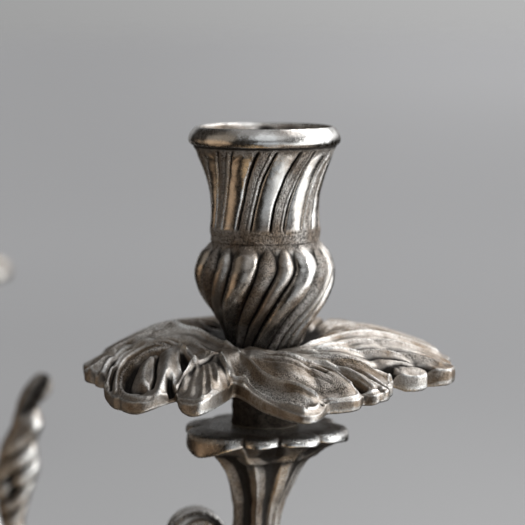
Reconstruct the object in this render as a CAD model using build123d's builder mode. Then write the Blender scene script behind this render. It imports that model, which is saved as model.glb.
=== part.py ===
from build123d import *
from math import cos, radians, sin
import os

# A rococo two-light candlestick in silver-plated cast brass, millimetres, +Z up.
# Origin: centre of the foot's resting plane. The two arms lie along +X and -X.
# It is built like the real one: foot and stem are clamped by one tie rod, the branch
# plugs into the stem and turns there, and each sconce (collar, drip pan, candle cup and
# the screw that joins them) plugs into a lobed plate and lifts out for cleaning.

# ---------------------------------------------------------------- driving dimensions
ARM_REACH = 124.0          # stem axis to sconce axis
ARM_PLATE_Z = 260.0        # seat of the sconces

# Candle cup, heights above the sconce seat
CANDLE_R = 11.5            # candle bore
BORE_FLOOR_Z = 46.0        # ledge that the candle stands on
BORE_TOP_Z = 66.0          # end of the straight bore, where the mouth starts to flare
CUP_FOOT_Z = 19.0
CUP_TOP_Z = 76.3
RIM_R = 18.9
RIM_MOUTH_R = 16.0
NECK_R = 13.4
BULB_R = 17.5
CUP_FOOT_R = 9.0
CUP_FLOOR_Z = 26.0         # floor of the screw well
SCREW_WELL_R = 7.0
BULB_TOP_Z = 46.8
CUP_LOBES = 6              # twisted gadroons round the bulb
CUP_LOBE_DEPTH = 1.2
CUP_TWIST = 45.0           # their turn from foot to shoulder, degrees

# Drip pan
PAN_R = 47.0
PAN_SEAT_Z = 14.0          # underside of the pan's hub, on the collar
PAN_CREST_R = 24.0
PAN_THICK = 4.0
PAN_LEAVES = 6

# Collar and plug
COLLAR_R = 8.6
PLUG_R = 4.95
SOCKET_R = 5.0
PLUG_LENGTH = 12.0
SOCKET_DEPTH = 12.6

# Sconce screw
SCREW_R = 3.0
SCREW_HOLE_R = 3.1
SCREW_HEAD_R = 5.2
SCREW_HEAD_H = 3.2
SLOT_WIDTH = 1.2
SLOT_DEPTH = 1.2

# Sconce plate at the end of each arm
PLATE_R = 20.5
PLATE_THICK = 5.0
PLATE_LOBES = 6
LOBE_R = 8.0
FLARE_R = 7.4
FLARE_DEPTH = 16.0

# Arm
ARM_R = 6.0
SCROLL_R = 3.6             # the two scrolls that branch off each arm
INNER_VOLUTE_R = 6.5
INNER_VOLUTE_WIDTH = 8.0
INNER_VOLUTE_X = 46.0
INNER_VOLUTE_Z = 199.0
SIDE_VOLUTE_R = 7.8
SIDE_VOLUTE_WIDTH = 8.0
SIDE_VOLUTE_AT = (105.0, -9.0, 228.0)
SIDE_VOLUTE_TURN = 70.0    # its axis, turned this far from square across the arm, degrees

# Hub, branch plug and stem
HUB_R = 14.0
HUB_BOTTOM_Z = 169.0
HUB_TOP_Z = 196.0
BRANCH_PLUG_R = 8.95
BRANCH_SOCKET_R = 9.0
BRANCH_PLUG_LENGTH = 17.0
BRANCH_SOCKET_DEPTH = 18.0
HUB_BORE_R = 8.0
SPIGOT_LENGTH = 6.0        # plug and finial enter the hub's bore by this much
ARM_PAD_R = 7.0            # round flat on the hub where an arm is bolted on
ARM_PAD_X = 12.6
ARM_SCREW_Z = 182.0
ARM_SCREW_R = 2.5
ARM_SCREW_HEAD_R = 4.2
ARM_SCREW_HEAD_H = 2.6
ARM_SCREW_SEAT_X = 7.4     # spot face inside the hub, under the screw heads
ARM_TAP_DEPTH = 11.0
TAP_GAP = 0.05             # screws are modelled plain, this much under their tapped holes

SOCKET_BOTTOM_Z = 142.0
SOCKET_TOP_Z = 166.0
SPOOL_BOTTOM_Z = 64.0
TIE_ROD_R = 4.0
TIE_ROD_HOLE_R = 4.2
TIE_ROD_BOTTOM_Z = 33.0
TIE_ROD_TOP_Z = 147.0

# Foot
BASE_R = 70.0
BASE_BOTTOM_Z = 1.6
BASE_RIM_H = 5.0
BASE_LOBES = 8
BASE_BOSS_R = 16.0
BASE_BOSS_BOTTOM_Z = 44.0
FELT_OUTER_R = 62.0
FELT_INNER_R = 54.0
NUT_FLATS_R = 7.5
NUT_H = 6.5
WASHER_R = 13.0
WASHER_H = 1.5

os.makedirs("parts", exist_ok=True)


def save(part, label):
    """Names a finished piece and writes it as the node of that name."""
    part.label = label
    export_step(part, f"parts/{label}.step")


def lobed_ring(radius, lobes, depth):
    """A closed wavy ring on the current plane: its lobes stand depth proud of its hollows."""
    points_per_lobe = 6
    count = lobes * points_per_lobe
    ring = []
    for i in range(count):
        angle = 360 * i / count
        wave = radius - depth * (1 - cos(radians(lobes * angle))) / 2
        ring.append((wave * cos(radians(angle)), wave * sin(radians(angle))))
    return Spline(*ring, periodic=True)


# ---------------------------------------------------------------- sconce, seat at z = 0
# Candle cup: a flared neck over a twisted bulb, with a candle bore, a flared mouth above
# it and a screw well below it. The bulb is lofted through lobed sections, each turned a
# little further than the one below, and the neck is turned on top of it.
BULB_SECTIONS = [
    (CUP_FOOT_Z, CUP_FOOT_R),
    (24.0, 10.4),
    (30.0, 13.6),
    (36.0, 16.6),
    (41.0, BULB_R),
    (44.6, 16.3),
    (BULB_TOP_Z, 13.9),
]
with BuildPart() as cup:
    for section_z, section_r in BULB_SECTIONS:
        rise = (section_z - CUP_FOOT_Z) / (BULB_TOP_Z - CUP_FOOT_Z)
        with BuildSketch(Plane.XY.offset(section_z).rotated((0, 0, CUP_TWIST * rise))):
            with BuildLine():
                lobed_ring(section_r, CUP_LOBES, CUP_LOBE_DEPTH * sin(radians(180 * rise)))
            make_face()
    loft()
    with BuildSketch(Plane.XZ):
        with BuildLine():
            Polyline((0, BULB_TOP_Z - 0.6), (13.6, BULB_TOP_Z - 0.6), (14.0, BULB_TOP_Z + 1.8))
            Spline(
                (14.0, BULB_TOP_Z + 1.8),
                (NECK_R, 55.5),
                (14.9, 63.0),
                (RIM_R - 1.1, 71.6),
                tangents=[(-0.1, 1), (0.75, 1)],
            )
            Spline(
                (RIM_R - 1.1, 71.6),
                (RIM_R, 73.6),
                (RIM_R - 0.7, 75.6),
                (RIM_MOUTH_R + 0.6, CUP_TOP_Z),
                tangents=[(1, 0.6), (-1, 0)],
            )
            Polyline(
                (RIM_MOUTH_R + 0.6, CUP_TOP_Z),
                (0, CUP_TOP_Z),
                (0, BULB_TOP_Z - 0.6),
            )
        make_face()
    revolve(axis=Axis.Z)
    with BuildSketch(Plane.XZ):
        with BuildLine():
            Polyline(
                (0, CUP_FLOOR_Z),
                (SCREW_WELL_R, CUP_FLOOR_Z),
                (SCREW_WELL_R, BORE_FLOOR_Z),
                (CANDLE_R, BORE_FLOOR_Z),
                (CANDLE_R, BORE_TOP_Z),
            )
            Spline(
                (CANDLE_R, BORE_TOP_Z),
                (13.4, 71.0),
                (RIM_MOUTH_R, CUP_TOP_Z),
                tangents=[(0, 1), (0.7, 1)],
            )
            Polyline((RIM_MOUTH_R, CUP_TOP_Z), (0, CUP_TOP_Z), (0, CUP_FLOOR_Z))
        make_face()
    revolve(axis=Axis.Z, mode=Mode.SUBTRACT)
    with BuildSketch(Plane.XY.offset(CUP_FOOT_Z)):
        Circle(SCREW_HOLE_R)
    extrude(amount=CUP_FLOOR_Z - CUP_FOOT_Z, mode=Mode.SUBTRACT)

# Drip pan: a shallow dome of leaves, cut to a leafy outline, with a flat hub.
with BuildPart() as pan:
    with BuildSketch(Plane.XZ):
        with BuildLine():
            Polyline(
                (SCREW_HOLE_R, CUP_FOOT_Z),
                (SCREW_HOLE_R, PAN_SEAT_Z),
                (COLLAR_R + 1.0, PAN_SEAT_Z),
            )
            Spline(
                (COLLAR_R + 1.0, PAN_SEAT_Z),
                (PAN_CREST_R, PAN_SEAT_Z + 3.2),
                (PAN_R, PAN_SEAT_Z - 2.8),
                tangents=[(1, 0.25), (1, -0.35)],
            )
            Line((PAN_R, PAN_SEAT_Z - 2.8), (PAN_R, PAN_SEAT_Z - 2.8 + PAN_THICK))
            Spline(
                (PAN_R, PAN_SEAT_Z - 2.8 + PAN_THICK),
                (PAN_CREST_R, CUP_FOOT_Z + 3.4),
                (COLLAR_R + 1.0, CUP_FOOT_Z),
                tangents=[(-1, 0.4), (-1, -0.4)],
            )
            Line((COLLAR_R + 1.0, CUP_FOOT_Z), (SCREW_HOLE_R, CUP_FOOT_Z))
        make_face()
    revolve(axis=Axis.Z)
    with BuildSketch(Plane.XY.offset(PAN_SEAT_Z - 8.0)) as leaf_outline:
        Circle(PAN_R * 0.62)
        with PolarLocations(PAN_R * 0.55, PAN_LEAVES):
            Ellipse(PAN_R * 0.45, PAN_R * 0.30)
        with PolarLocations(PAN_R * 0.60, PAN_LEAVES, start_angle=24):
            Ellipse(PAN_R * 0.30, PAN_R * 0.17)
        with PolarLocations(PAN_R * 0.60, PAN_LEAVES, start_angle=-24):
            Ellipse(PAN_R * 0.30, PAN_R * 0.17)
    extrude(amount=20.0, mode=Mode.INTERSECT)

# Collar: rough-cast spacer with the plug that drops into the plate's socket.
with BuildPart() as collar:
    with BuildSketch(Plane.XZ):
        with BuildLine():
            Polyline(
                (0, -PLUG_LENGTH),
                (PLUG_R - 0.8, -PLUG_LENGTH),
                (PLUG_R, -PLUG_LENGTH + 0.8),
                (PLUG_R, 0),
                (COLLAR_R - 0.3, 0),
                (COLLAR_R, PAN_SEAT_Z),
                (0, PAN_SEAT_Z),
                (0, -PLUG_LENGTH),
            )
        make_face()
    revolve(axis=Axis.Z)
    with BuildSketch(Plane.XY.offset(PAN_SEAT_Z)):
        Circle(SCREW_HOLE_R)
    extrude(amount=-(PAN_SEAT_Z - 1.0), mode=Mode.SUBTRACT)

# Screw that clamps cup and pan down on the collar, with a slotted cheese head.
with BuildPart() as sconce_screw:
    with BuildSketch(Plane.XY.offset(2.0)):
        Circle(SCREW_R)
    extrude(amount=CUP_FLOOR_Z - 2.0)
    with BuildSketch(Plane.XY.offset(CUP_FLOOR_Z)):
        Circle(SCREW_HEAD_R)
    extrude(amount=SCREW_HEAD_H)
    chamfer(sconce_screw.edges().group_by(Axis.Z)[-1], 0.5)
    chamfer(sconce_screw.edges().group_by(Axis.Z)[0], 0.6)
    with BuildSketch(Plane.XY.offset(CUP_FLOOR_Z + SCREW_HEAD_H)):
        Rectangle(3 * SCREW_HEAD_R, SLOT_WIDTH)
    extrude(amount=-SLOT_DEPTH, mode=Mode.SUBTRACT)

LIGHTS = {
    "right": (ARM_REACH, 0.0),
    "left": (-ARM_REACH, 180.0),
}
for light, (light_x, light_turn) in LIGHTS.items():
    place = Location((light_x, 0, ARM_PLATE_Z), (0, 0, light_turn))
    save(place * cup.part, f"{light}_candle_cup")
    save(place * pan.part, f"{light}_drip_pan")
    save(place * collar.part, f"{light}_collar")
    save(place * sconce_screw.part, f"{light}_sconce_screw")

# ---------------------------------------------------------------- branch
# Lobed plate with a flared neck below it and the socket for a sconce plug, seat at z = 0.
with BuildPart() as plate:
    with BuildSketch(Plane.XY.offset(-PLATE_THICK)):
        Circle(PLATE_R - LOBE_R * 0.45)
        with PolarLocations(PLATE_R - LOBE_R, PLATE_LOBES, start_angle=15):
            Circle(LOBE_R)
    extrude(amount=PLATE_THICK)
    fillet(plate.edges().group_by(Axis.Z)[-1], 0.8)
    with BuildSketch(Plane.XZ):
        with BuildLine():
            Line((0, -PLATE_THICK), (14.5, -PLATE_THICK))
            Spline(
                (14.5, -PLATE_THICK),
                (9.6, -9.6),
                (FLARE_R, -FLARE_DEPTH),
                tangents=[(-1, -0.9), (-0.2, -1)],
            )
            Polyline((FLARE_R, -FLARE_DEPTH), (0, -FLARE_DEPTH), (0, -PLATE_THICK))
        make_face()
    revolve(axis=Axis.Z)
    with BuildSketch(Plane.XY):
        Circle(SOCKET_R)
    extrude(amount=-SOCKET_DEPTH, mode=Mode.SUBTRACT)

# Arm: sweeps from its pad on the hub down and out, then up under the plate. An inner
# scroll rises from its belly and curls over towards the hub; a side scroll rises beside
# it and curls up close to the plate. The pad is tapped for the screw that holds it.
with BuildPart() as arm:
    with BuildLine(Plane.XZ) as arm_path:
        Spline(
            (ARM_PAD_X, ARM_SCREW_Z),
            (36.0, 175.5),
            (64.0, 168.0),
            (92.0, 171.5),
            (110.5, 190.0),
            (118.5, 220.0),
            (ARM_REACH - 0.8, ARM_PLATE_Z - FLARE_DEPTH + 2.0),
            tangents=[(1, 0), (0.3, 1)],
        )
    with BuildSketch(Plane(origin=(ARM_PAD_X, 0, ARM_SCREW_Z), z_dir=(1, 0, 0))):
        Circle(ARM_R)
    sweep(path=arm_path.line)
    with BuildLine(Plane.XZ) as inner_path:
        Spline(
            (78.0, 169.0),
            (62.0, 176.5),
            (47.5, 186.0),
            (INNER_VOLUTE_X - INNER_VOLUTE_R + SCROLL_R, INNER_VOLUTE_Z),
            tangents=[(-1, 0.1), (0.1, 1)],
        )
    with BuildSketch(Plane(origin=(78.0, 0, 169.0), z_dir=(-1, 0, 0.1))):
        Circle(SCROLL_R)
    sweep(path=inner_path.line)
    with BuildSketch(Plane.XZ.offset(-INNER_VOLUTE_WIDTH / 2)):
        with Locations((INNER_VOLUTE_X, INNER_VOLUTE_Z)):
            Circle(INNER_VOLUTE_R)
    extrude(amount=INNER_VOLUTE_WIDTH)
    with BuildLine() as side_path:
        Spline(
            (99.0, 0.0, 177.0),
            (99.0, -13.0, 189.0),
            (100.5, -16.0, 208.0),
            (103.6, -12.6, 226.0),
            tangents=[(0, -1, 0.1), (0.1, 0.3, 1)],
        )
    with BuildSketch(Plane(origin=(99.0, 0, 177.0), z_dir=(0, -1, 0.1))):
        Circle(SCROLL_R)
    sweep(path=side_path.line)
    side_axis = (sin(radians(SIDE_VOLUTE_TURN)), -cos(radians(SIDE_VOLUTE_TURN)), 0)
    with BuildSketch(Plane(origin=SIDE_VOLUTE_AT, z_dir=side_axis)):
        Circle(SIDE_VOLUTE_R)
    extrude(amount=SIDE_VOLUTE_WIDTH / 2, both=True)
    with BuildSketch(Plane.YZ.offset(ARM_PAD_X)):
        with Locations((0, ARM_SCREW_Z)):
            Circle(ARM_PAD_R)
    extrude(amount=4.0)
    with BuildSketch(Plane.YZ.offset(ARM_PAD_X)):
        with Locations((0, ARM_SCREW_Z)):
            Circle(ARM_SCREW_R + TAP_GAP)
    extrude(amount=ARM_TAP_DEPTH, mode=Mode.SUBTRACT)
    add(plate.part.moved(Location((ARM_REACH, 0, ARM_PLATE_Z))))
save(arm.part, "right_arm")

opposite = Location((0, 0, 0), (0, 0, 180))
save(opposite * arm.part, "left_arm")

# Hub: a bulbous tube with a flat on each side that takes an arm's pad.
with BuildPart() as hub:
    with BuildSketch(Plane.XZ):
        with BuildLine():
            Line((HUB_BORE_R, HUB_BOTTOM_Z), (12.0, HUB_BOTTOM_Z))
            Spline(
                (12.0, HUB_BOTTOM_Z),
                (HUB_R + 0.6, ARM_SCREW_Z),
                (12.0, HUB_TOP_Z),
                tangents=[(0.5, 1), (-0.5, 1)],
            )
            Polyline((12.0, HUB_TOP_Z), (HUB_BORE_R, HUB_TOP_Z), (HUB_BORE_R, HUB_BOTTOM_Z))
        make_face()
    revolve(axis=Axis.Z)
    for side in (1, -1):
        with BuildSketch(Plane.YZ.offset(side * ARM_PAD_X)):
            with Locations((0, ARM_SCREW_Z)):
                Circle(ARM_PAD_R + 0.4)
        extrude(amount=side * 4.0, mode=Mode.SUBTRACT)
    with BuildSketch(Plane.YZ):
        with Locations((0, ARM_SCREW_Z)):
            Circle(ARM_SCREW_R + 0.2)
    extrude(amount=HUB_R, both=True, mode=Mode.SUBTRACT)
    with BuildSketch(Plane.YZ):
        with Locations((0, ARM_SCREW_Z)):
            Circle(ARM_SCREW_HEAD_R + 0.2)
    extrude(amount=ARM_SCREW_SEAT_X, both=True, mode=Mode.SUBTRACT)
save(hub.part, "branch_hub")

# Arm screws: one per arm, driven outwards from inside the hub.
with BuildPart() as arm_screws:
    for side in (1, -1):
        with BuildSketch(Plane.YZ.offset(side * ARM_SCREW_SEAT_X)):
            with Locations((0, ARM_SCREW_Z)):
                Circle(ARM_SCREW_R)
        extrude(amount=side * (ARM_PAD_X - ARM_SCREW_SEAT_X + ARM_TAP_DEPTH - 1.0))
        with BuildSketch(Plane.YZ.offset(side * ARM_SCREW_SEAT_X)):
            with Locations((0, ARM_SCREW_Z)):
                Circle(ARM_SCREW_HEAD_R)
        extrude(amount=-side * ARM_SCREW_HEAD_H)
        with BuildSketch(Plane.YZ.offset(side * (ARM_SCREW_SEAT_X - ARM_SCREW_HEAD_H))):
            with Locations((0, ARM_SCREW_Z)):
                Rectangle(SLOT_WIDTH, 3 * ARM_SCREW_HEAD_R)
        extrude(amount=side * SLOT_DEPTH, mode=Mode.SUBTRACT)
save(arm_screws.part, "arm_screws")

# Branch plug: closes the hub from below and turns in the socket on top of the stem.
with BuildPart() as branch_plug:
    with BuildSketch(Plane.XZ):
        with BuildLine():
            Polyline(
                (0, SOCKET_TOP_Z - BRANCH_PLUG_LENGTH),
                (BRANCH_PLUG_R - 1.0, SOCKET_TOP_Z - BRANCH_PLUG_LENGTH),
                (BRANCH_PLUG_R, SOCKET_TOP_Z - BRANCH_PLUG_LENGTH + 1.0),
                (BRANCH_PLUG_R, SOCKET_TOP_Z),
                (12.6, SOCKET_TOP_Z),
                (12.6, HUB_BOTTOM_Z),
                (HUB_BORE_R - 0.05, HUB_BOTTOM_Z),
                (HUB_BORE_R - 0.05, HUB_BOTTOM_Z + SPIGOT_LENGTH),
                (0, HUB_BOTTOM_Z + SPIGOT_LENGTH),
                (0, SOCKET_TOP_Z - BRANCH_PLUG_LENGTH),
            )
        make_face()
    revolve(axis=Axis.Z)
save(branch_plug.part, "branch_plug")

# Centre finial: a spigot and foot in the hub, and a leaf that bows out to one side and
# curls back over the axis. Each section is (height, lean, half width, half thickness).
LEAF_TURN = 57.5           # direction of the leaf's lean, degrees from +X
LEAF_SECTIONS = [
    (HUB_TOP_Z + 5.0, 0.0, 5.4, 5.4),
    (204.0, -3.4, 4.4, 4.2),
    (212.0, -8.4, 4.2, 3.8),
    (220.0, -9.6, 5.8, 4.2),
    (229.0, -7.4, 6.4, 4.4),
    (240.0, -4.8, 5.4, 3.8),
    (248.0, -2.4, 4.6, 3.0),
    (256.0, 1.6, 2.4, 1.6),
]
with BuildPart() as finial:
    with BuildSketch(Plane.XZ):
        with BuildLine():
            Polyline(
                (0, HUB_TOP_Z - SPIGOT_LENGTH),
                (HUB_BORE_R - 0.05, HUB_TOP_Z - SPIGOT_LENGTH),
                (HUB_BORE_R - 0.05, HUB_TOP_Z),
                (12.0, HUB_TOP_Z),
                (12.0, HUB_TOP_Z + 2.0),
            )
            Spline(
                (12.0, HUB_TOP_Z + 2.0),
                (8.0, HUB_TOP_Z + 3.4),
                (5.4, HUB_TOP_Z + 6.0),
                tangents=[(-1, 0.1), (-0.1, 1)],
            )
            Polyline(
                (5.4, HUB_TOP_Z + 6.0),
                (0, HUB_TOP_Z + 6.0),
                (0, HUB_TOP_Z - SPIGOT_LENGTH),
            )
        make_face()
    revolve(axis=Axis.Z)
    lean_x = cos(radians(LEAF_TURN))
    lean_y = sin(radians(LEAF_TURN))
    for leaf_z, lean, half_width, half_thickness in LEAF_SECTIONS:
        leaf_at = (lean * lean_x, lean * lean_y, leaf_z)
        with BuildSketch(Plane(origin=leaf_at, x_dir=(lean_x, lean_y, 0), z_dir=(0, 0, 1))):
            Ellipse(half_width, half_thickness)
    loft()
save(finial.part, "centre_finial")

# ---------------------------------------------------------------- stem and foot
# Stem pieces are stacked on the tie rod: spool, knop, baluster, then the tapped socket.
# Each profile is a list of (radius, height) points from its bottom face to its top face.
STEM_PIECES = {
    "stem_spool": [(15.0, 64.0), (9.4, 69.0), (8.2, 74.0), (9.6, 79.0), (11.5, 83.0)],
    "stem_knop": [(11.5, 83.0), (16.6, 89.0), (17.6, 95.0), (15.6, 102.0), (10.0, 108.0)],
    "stem_baluster": [(9.0, 108.0), (7.6, 113.0), (9.4, 122.0), (14.2, 132.0), (10.0, 142.0)],
}
for stem_name, stem_profile in STEM_PIECES.items():
    with BuildPart() as stem_piece:
        with BuildSketch(Plane.XZ):
            with BuildLine():
                Spline(*stem_profile)
                Polyline(
                    stem_profile[-1],
                    (TIE_ROD_HOLE_R, stem_profile[-1][1]),
                    (TIE_ROD_HOLE_R, stem_profile[0][1]),
                    stem_profile[0],
                )
            make_face()
        revolve(axis=Axis.Z)
    save(stem_piece.part, stem_name)

# Stem socket: a cup, tapped below for the tie rod and bored above for the branch plug.
with BuildPart() as socket:
    with BuildSketch(Plane.XZ):
        with BuildLine():
            Line((TIE_ROD_R + TAP_GAP, SOCKET_BOTTOM_Z), (9.0, SOCKET_BOTTOM_Z))
            Spline(
                (9.0, SOCKET_BOTTOM_Z),
                (12.0, SOCKET_BOTTOM_Z + 7.0),
                (12.2, SOCKET_TOP_Z - 8.0),
                (14.0, SOCKET_TOP_Z),
                tangents=[(1, 0.8), (0.6, 1)],
            )
            Polyline(
                (14.0, SOCKET_TOP_Z),
                (BRANCH_SOCKET_R, SOCKET_TOP_Z),
                (BRANCH_SOCKET_R, SOCKET_TOP_Z - BRANCH_SOCKET_DEPTH),
                (TIE_ROD_R + TAP_GAP, SOCKET_TOP_Z - BRANCH_SOCKET_DEPTH),
                (TIE_ROD_R + TAP_GAP, SOCKET_BOTTOM_Z),
            )
        make_face()
    revolve(axis=Axis.Z)
save(socket.part, "stem_socket")

# Tie rod: runs from the nut inside the foot up into the stem socket.
with BuildPart() as tie_rod:
    with BuildSketch(Plane.XY.offset(TIE_ROD_BOTTOM_Z)):
        Circle(TIE_ROD_R)
    extrude(amount=TIE_ROD_TOP_Z - TIE_ROD_BOTTOM_Z)
    chamfer(tie_rod.edges().filter_by(GeomType.CIRCLE), 0.6)
save(tie_rod.part, "tie_rod")

# Foot: a hollow dome on a lobed rim, with a drilled boss that the tie rod passes.
with BuildPart() as base:
    with BuildSketch(Plane.XZ):
        with BuildLine():
            Polyline(
                (0, BASE_BOSS_BOTTOM_Z),
                (0, SPOOL_BOTTOM_Z),
                (15.0, SPOOL_BOTTOM_Z),
            )
            Spline(
                (15.0, SPOOL_BOTTOM_Z),
                (18.0, 54.0),
                (30.0, 39.0),
                (48.0, 24.0),
                (60.0, 12.0),
                (BASE_R, BASE_BOTTOM_Z + BASE_RIM_H),
                tangents=[(0, -1), (1, 0)],
            )
            Polyline(
                (BASE_R, BASE_BOTTOM_Z + BASE_RIM_H),
                (BASE_R, BASE_BOTTOM_Z),
                (FELT_INNER_R - 1.0, BASE_BOTTOM_Z),
            )
            Spline(
                (FELT_INNER_R - 1.0, BASE_BOTTOM_Z),
                (43.0, 21.0),
                (26.0, 35.0),
                (BASE_BOSS_R, BASE_BOSS_BOTTOM_Z),
                tangents=[(-0.3, 1), (-1, 0.9)],
            )
            Line((BASE_BOSS_R, BASE_BOSS_BOTTOM_Z), (0, BASE_BOSS_BOTTOM_Z))
        make_face()
    revolve(axis=Axis.Z)
    with BuildSketch(Plane.XY):
        Circle(BASE_R - 7.0)
        with PolarLocations(BASE_R - 15.0, BASE_LOBES):
            Circle(15.0)
    extrude(amount=SPOOL_BOTTOM_Z, mode=Mode.INTERSECT)
    with BuildSketch(Plane.XY.offset(BASE_BOSS_BOTTOM_Z)):
        Circle(TIE_ROD_HOLE_R)
    extrude(amount=SPOOL_BOTTOM_Z - BASE_BOSS_BOTTOM_Z, mode=Mode.SUBTRACT)
save(base.part, "base")

with BuildPart() as felt:
    with BuildSketch():
        Circle(FELT_OUTER_R)
        Circle(FELT_INNER_R, mode=Mode.SUBTRACT)
    extrude(amount=BASE_BOTTOM_Z)
save(felt.part, "base_felt")

with BuildPart() as washer:
    with BuildSketch(Plane.XY.offset(BASE_BOSS_BOTTOM_Z - WASHER_H)):
        Circle(WASHER_R)
        Circle(TIE_ROD_HOLE_R, mode=Mode.SUBTRACT)
    extrude(amount=WASHER_H)
save(washer.part, "base_washer")

with BuildPart() as nut:
    with BuildSketch(Plane.XY.offset(BASE_BOSS_BOTTOM_Z - WASHER_H - NUT_H)):
        RegularPolygon(NUT_FLATS_R, 6, major_radius=False)
        Circle(TIE_ROD_R + TAP_GAP, mode=Mode.SUBTRACT)
    extrude(amount=NUT_H)
save(nut.part, "base_nut")
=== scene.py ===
import math

import bpy
import numpy as np
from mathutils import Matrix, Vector


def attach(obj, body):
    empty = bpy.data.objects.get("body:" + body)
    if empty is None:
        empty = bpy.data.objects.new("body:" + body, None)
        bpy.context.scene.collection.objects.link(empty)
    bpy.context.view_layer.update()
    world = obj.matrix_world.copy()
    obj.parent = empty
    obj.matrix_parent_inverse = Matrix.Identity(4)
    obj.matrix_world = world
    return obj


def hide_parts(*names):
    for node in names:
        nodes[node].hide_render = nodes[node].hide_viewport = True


# Looks for the two-light silver candlestick. Lengths in this script are millimetres and
# become metres in build(). Both sconces and both arms share one mesh each; the left ones
# are turned half a circle about the stem.
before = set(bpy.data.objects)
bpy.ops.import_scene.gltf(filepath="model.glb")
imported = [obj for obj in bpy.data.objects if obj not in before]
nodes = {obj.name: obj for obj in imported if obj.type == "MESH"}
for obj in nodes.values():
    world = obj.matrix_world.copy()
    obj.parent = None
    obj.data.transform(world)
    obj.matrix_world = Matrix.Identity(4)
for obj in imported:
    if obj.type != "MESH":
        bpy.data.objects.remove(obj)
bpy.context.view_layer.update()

REACH = 124.0              # stem axis to sconce axis
SEAT = 260.0               # height of the sconce seats
VIEW = 57.5                # direction of "image right", degrees from +X, in plan
RIGHT = np.array([math.cos(math.radians(VIEW)), math.sin(math.radians(VIEW)), 0.0])
TOWARDS = np.array([RIGHT[1], -RIGHT[0], 0.0])
rng = np.random.default_rng(7)


# ---------------------------------------------------------------- small maths
def smooth(a, b, x):
    x = np.clip((np.asarray(x, float) - a) / (b - a), 0, 1)
    return x * x * (3 - 2 * x)


def bump(x, centre, width):
    return np.exp(-(((x - centre) / width) ** 2))


def spread(knots, s):
    """Smooth curve through evenly spaced knots, read at s from 0 to 1."""
    k = np.asarray(knots, float)
    n = len(k) - 1
    x = np.clip(np.asarray(s, float), 0, 1) * n
    i = np.minimum(x.astype(int), n - 1)
    f = x - i
    p0, p1, p2, p3 = (k[np.clip(i + d, 0, n)] for d in (-1, 0, 1, 2))
    if k.ndim > 1:
        f = f[..., None]
    return 0.5 * (2 * p1 + (p2 - p0) * f + (2 * p0 - 5 * p1 + 4 * p2 - p3) * f * f
                  + (3 * p1 - p0 - 3 * p2 + p3) * f ** 3)


def dense(points, step, rounded=True):
    """Points laid every step along a path, through the corners or rounded over them."""
    points = np.asarray(points, float)
    if rounded:
        fine = spread(points, np.linspace(0, 1, 60 * len(points)))
    else:
        fine = points
    length = np.r_[0, np.cumsum(np.linalg.norm(np.diff(fine, axis=0), axis=1))]
    at = np.linspace(0, length[-1], max(2, int(round(length[-1] / step)) + 1))
    return np.stack([np.interp(at, length, fine[:, k]) for k in range(fine.shape[1])], 1)


WAVES = [(rng.normal(size=3), rng.uniform(0, 2 * math.pi)) for _ in range(14)]


def uneven(points, size):
    """Soft irregularity between -1 and 1, with features about size across."""
    total = np.zeros(points.shape[:-1])
    for way, start in WAVES:
        total += np.sin(points @ (way * 2.2 / size) + start)
    return total / 5.0


# ---------------------------------------------------------------- meshes
def grid_faces(rows, columns, close_rows=False, close_columns=False, first=0):
    index = first + np.arange(rows * columns).reshape(rows, columns)
    if close_rows:
        index = np.vstack([index, index[:1]])
    if close_columns:
        index = np.hstack([index, index[:, :1]])
    return np.stack([index[:-1, :-1], index[:-1, 1:], index[1:, 1:], index[1:, :-1]], -1).reshape(-1, 4)


def normals_of(points, faces):
    a, b, c, d = (points[faces[:, k]] for k in range(4))
    face_normal = np.cross(c - a, d - b)
    total = np.zeros_like(points)
    for k in range(4):
        for axis in range(3):
            total[:, axis] += np.bincount(faces[:, k], face_normal[:, axis], len(points))
    return total / np.maximum(np.linalg.norm(total, axis=1, keepdims=True), 1e-9)


def hollows(points, faces, rounds):
    """How deep each point lies under its surroundings, in mm; crests come out negative."""
    start = np.concatenate([faces[:, k] for k in range(4)])
    end = np.concatenate([faces[:, (k + 1) % 4] for k in range(4)])
    start, end = np.concatenate([start, end]), np.concatenate([end, start])
    count = np.maximum(np.bincount(start, minlength=len(points)), 1)
    soft = points.copy()
    for _ in range(rounds):
        mean = np.stack([np.bincount(start, soft[end, k], len(points)) / count for k in range(3)], 1)
        soft = 0.4 * soft + 0.6 * mean
    return ((soft - points) * normals_of(points, faces)).sum(1)


class Shell:
    """Collects the closed skins that make up one cast piece."""

    def __init__(self):
        self.points, self.faces, self.grain, self.dark, self.count = [], [], [], [], 0

    def add(self, points, faces, grain=0.0, dark=0.0):
        """Adds one closed skin, its faces turned outwards."""
        points = points.reshape(-1, 3)
        if signed_volume(points, faces) < 0:
            faces = faces[:, ::-1]
        self.points.append(points)
        self.faces.append(faces + self.count)
        for store, value in ((self.grain, grain), (self.dark, dark)):
            store.append(np.broadcast_to(np.asarray(value, float).reshape(-1), (len(points),))
                         if np.size(value) > 1 else np.full(len(points), float(value)))
        self.count += len(points)

    def mesh(self, name, rounds=14, sharp=50):
        points, faces = np.concatenate(self.points), np.concatenate(self.faces)
        grain, dark = np.concatenate(self.grain), np.concatenate(self.dark)
        mesh = bpy.data.meshes.new(name)
        mesh.from_pydata((points * 0.001).tolist(), [], faces.tolist())
        mesh.update()
        mesh.polygons.foreach_set("use_smooth", np.ones(len(faces), bool))
        mesh.set_sharp_from_angle(angle=math.radians(sharp))
        # the hollow attribute is the real depth plus the marked darkness: patina, painted shade, and below zero painted
        # highlights
        deep = hollows(points, faces, rounds)
        for key, value in (("hollow_and_shade", np.clip(deep / 0.45, -1, 1) + dark), ("grain", grain)):
            layer = mesh.attributes.new(key, "FLOAT", "POINT")
            layer.data.foreach_set("value", value.astype(np.float32))
        return mesh


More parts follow.
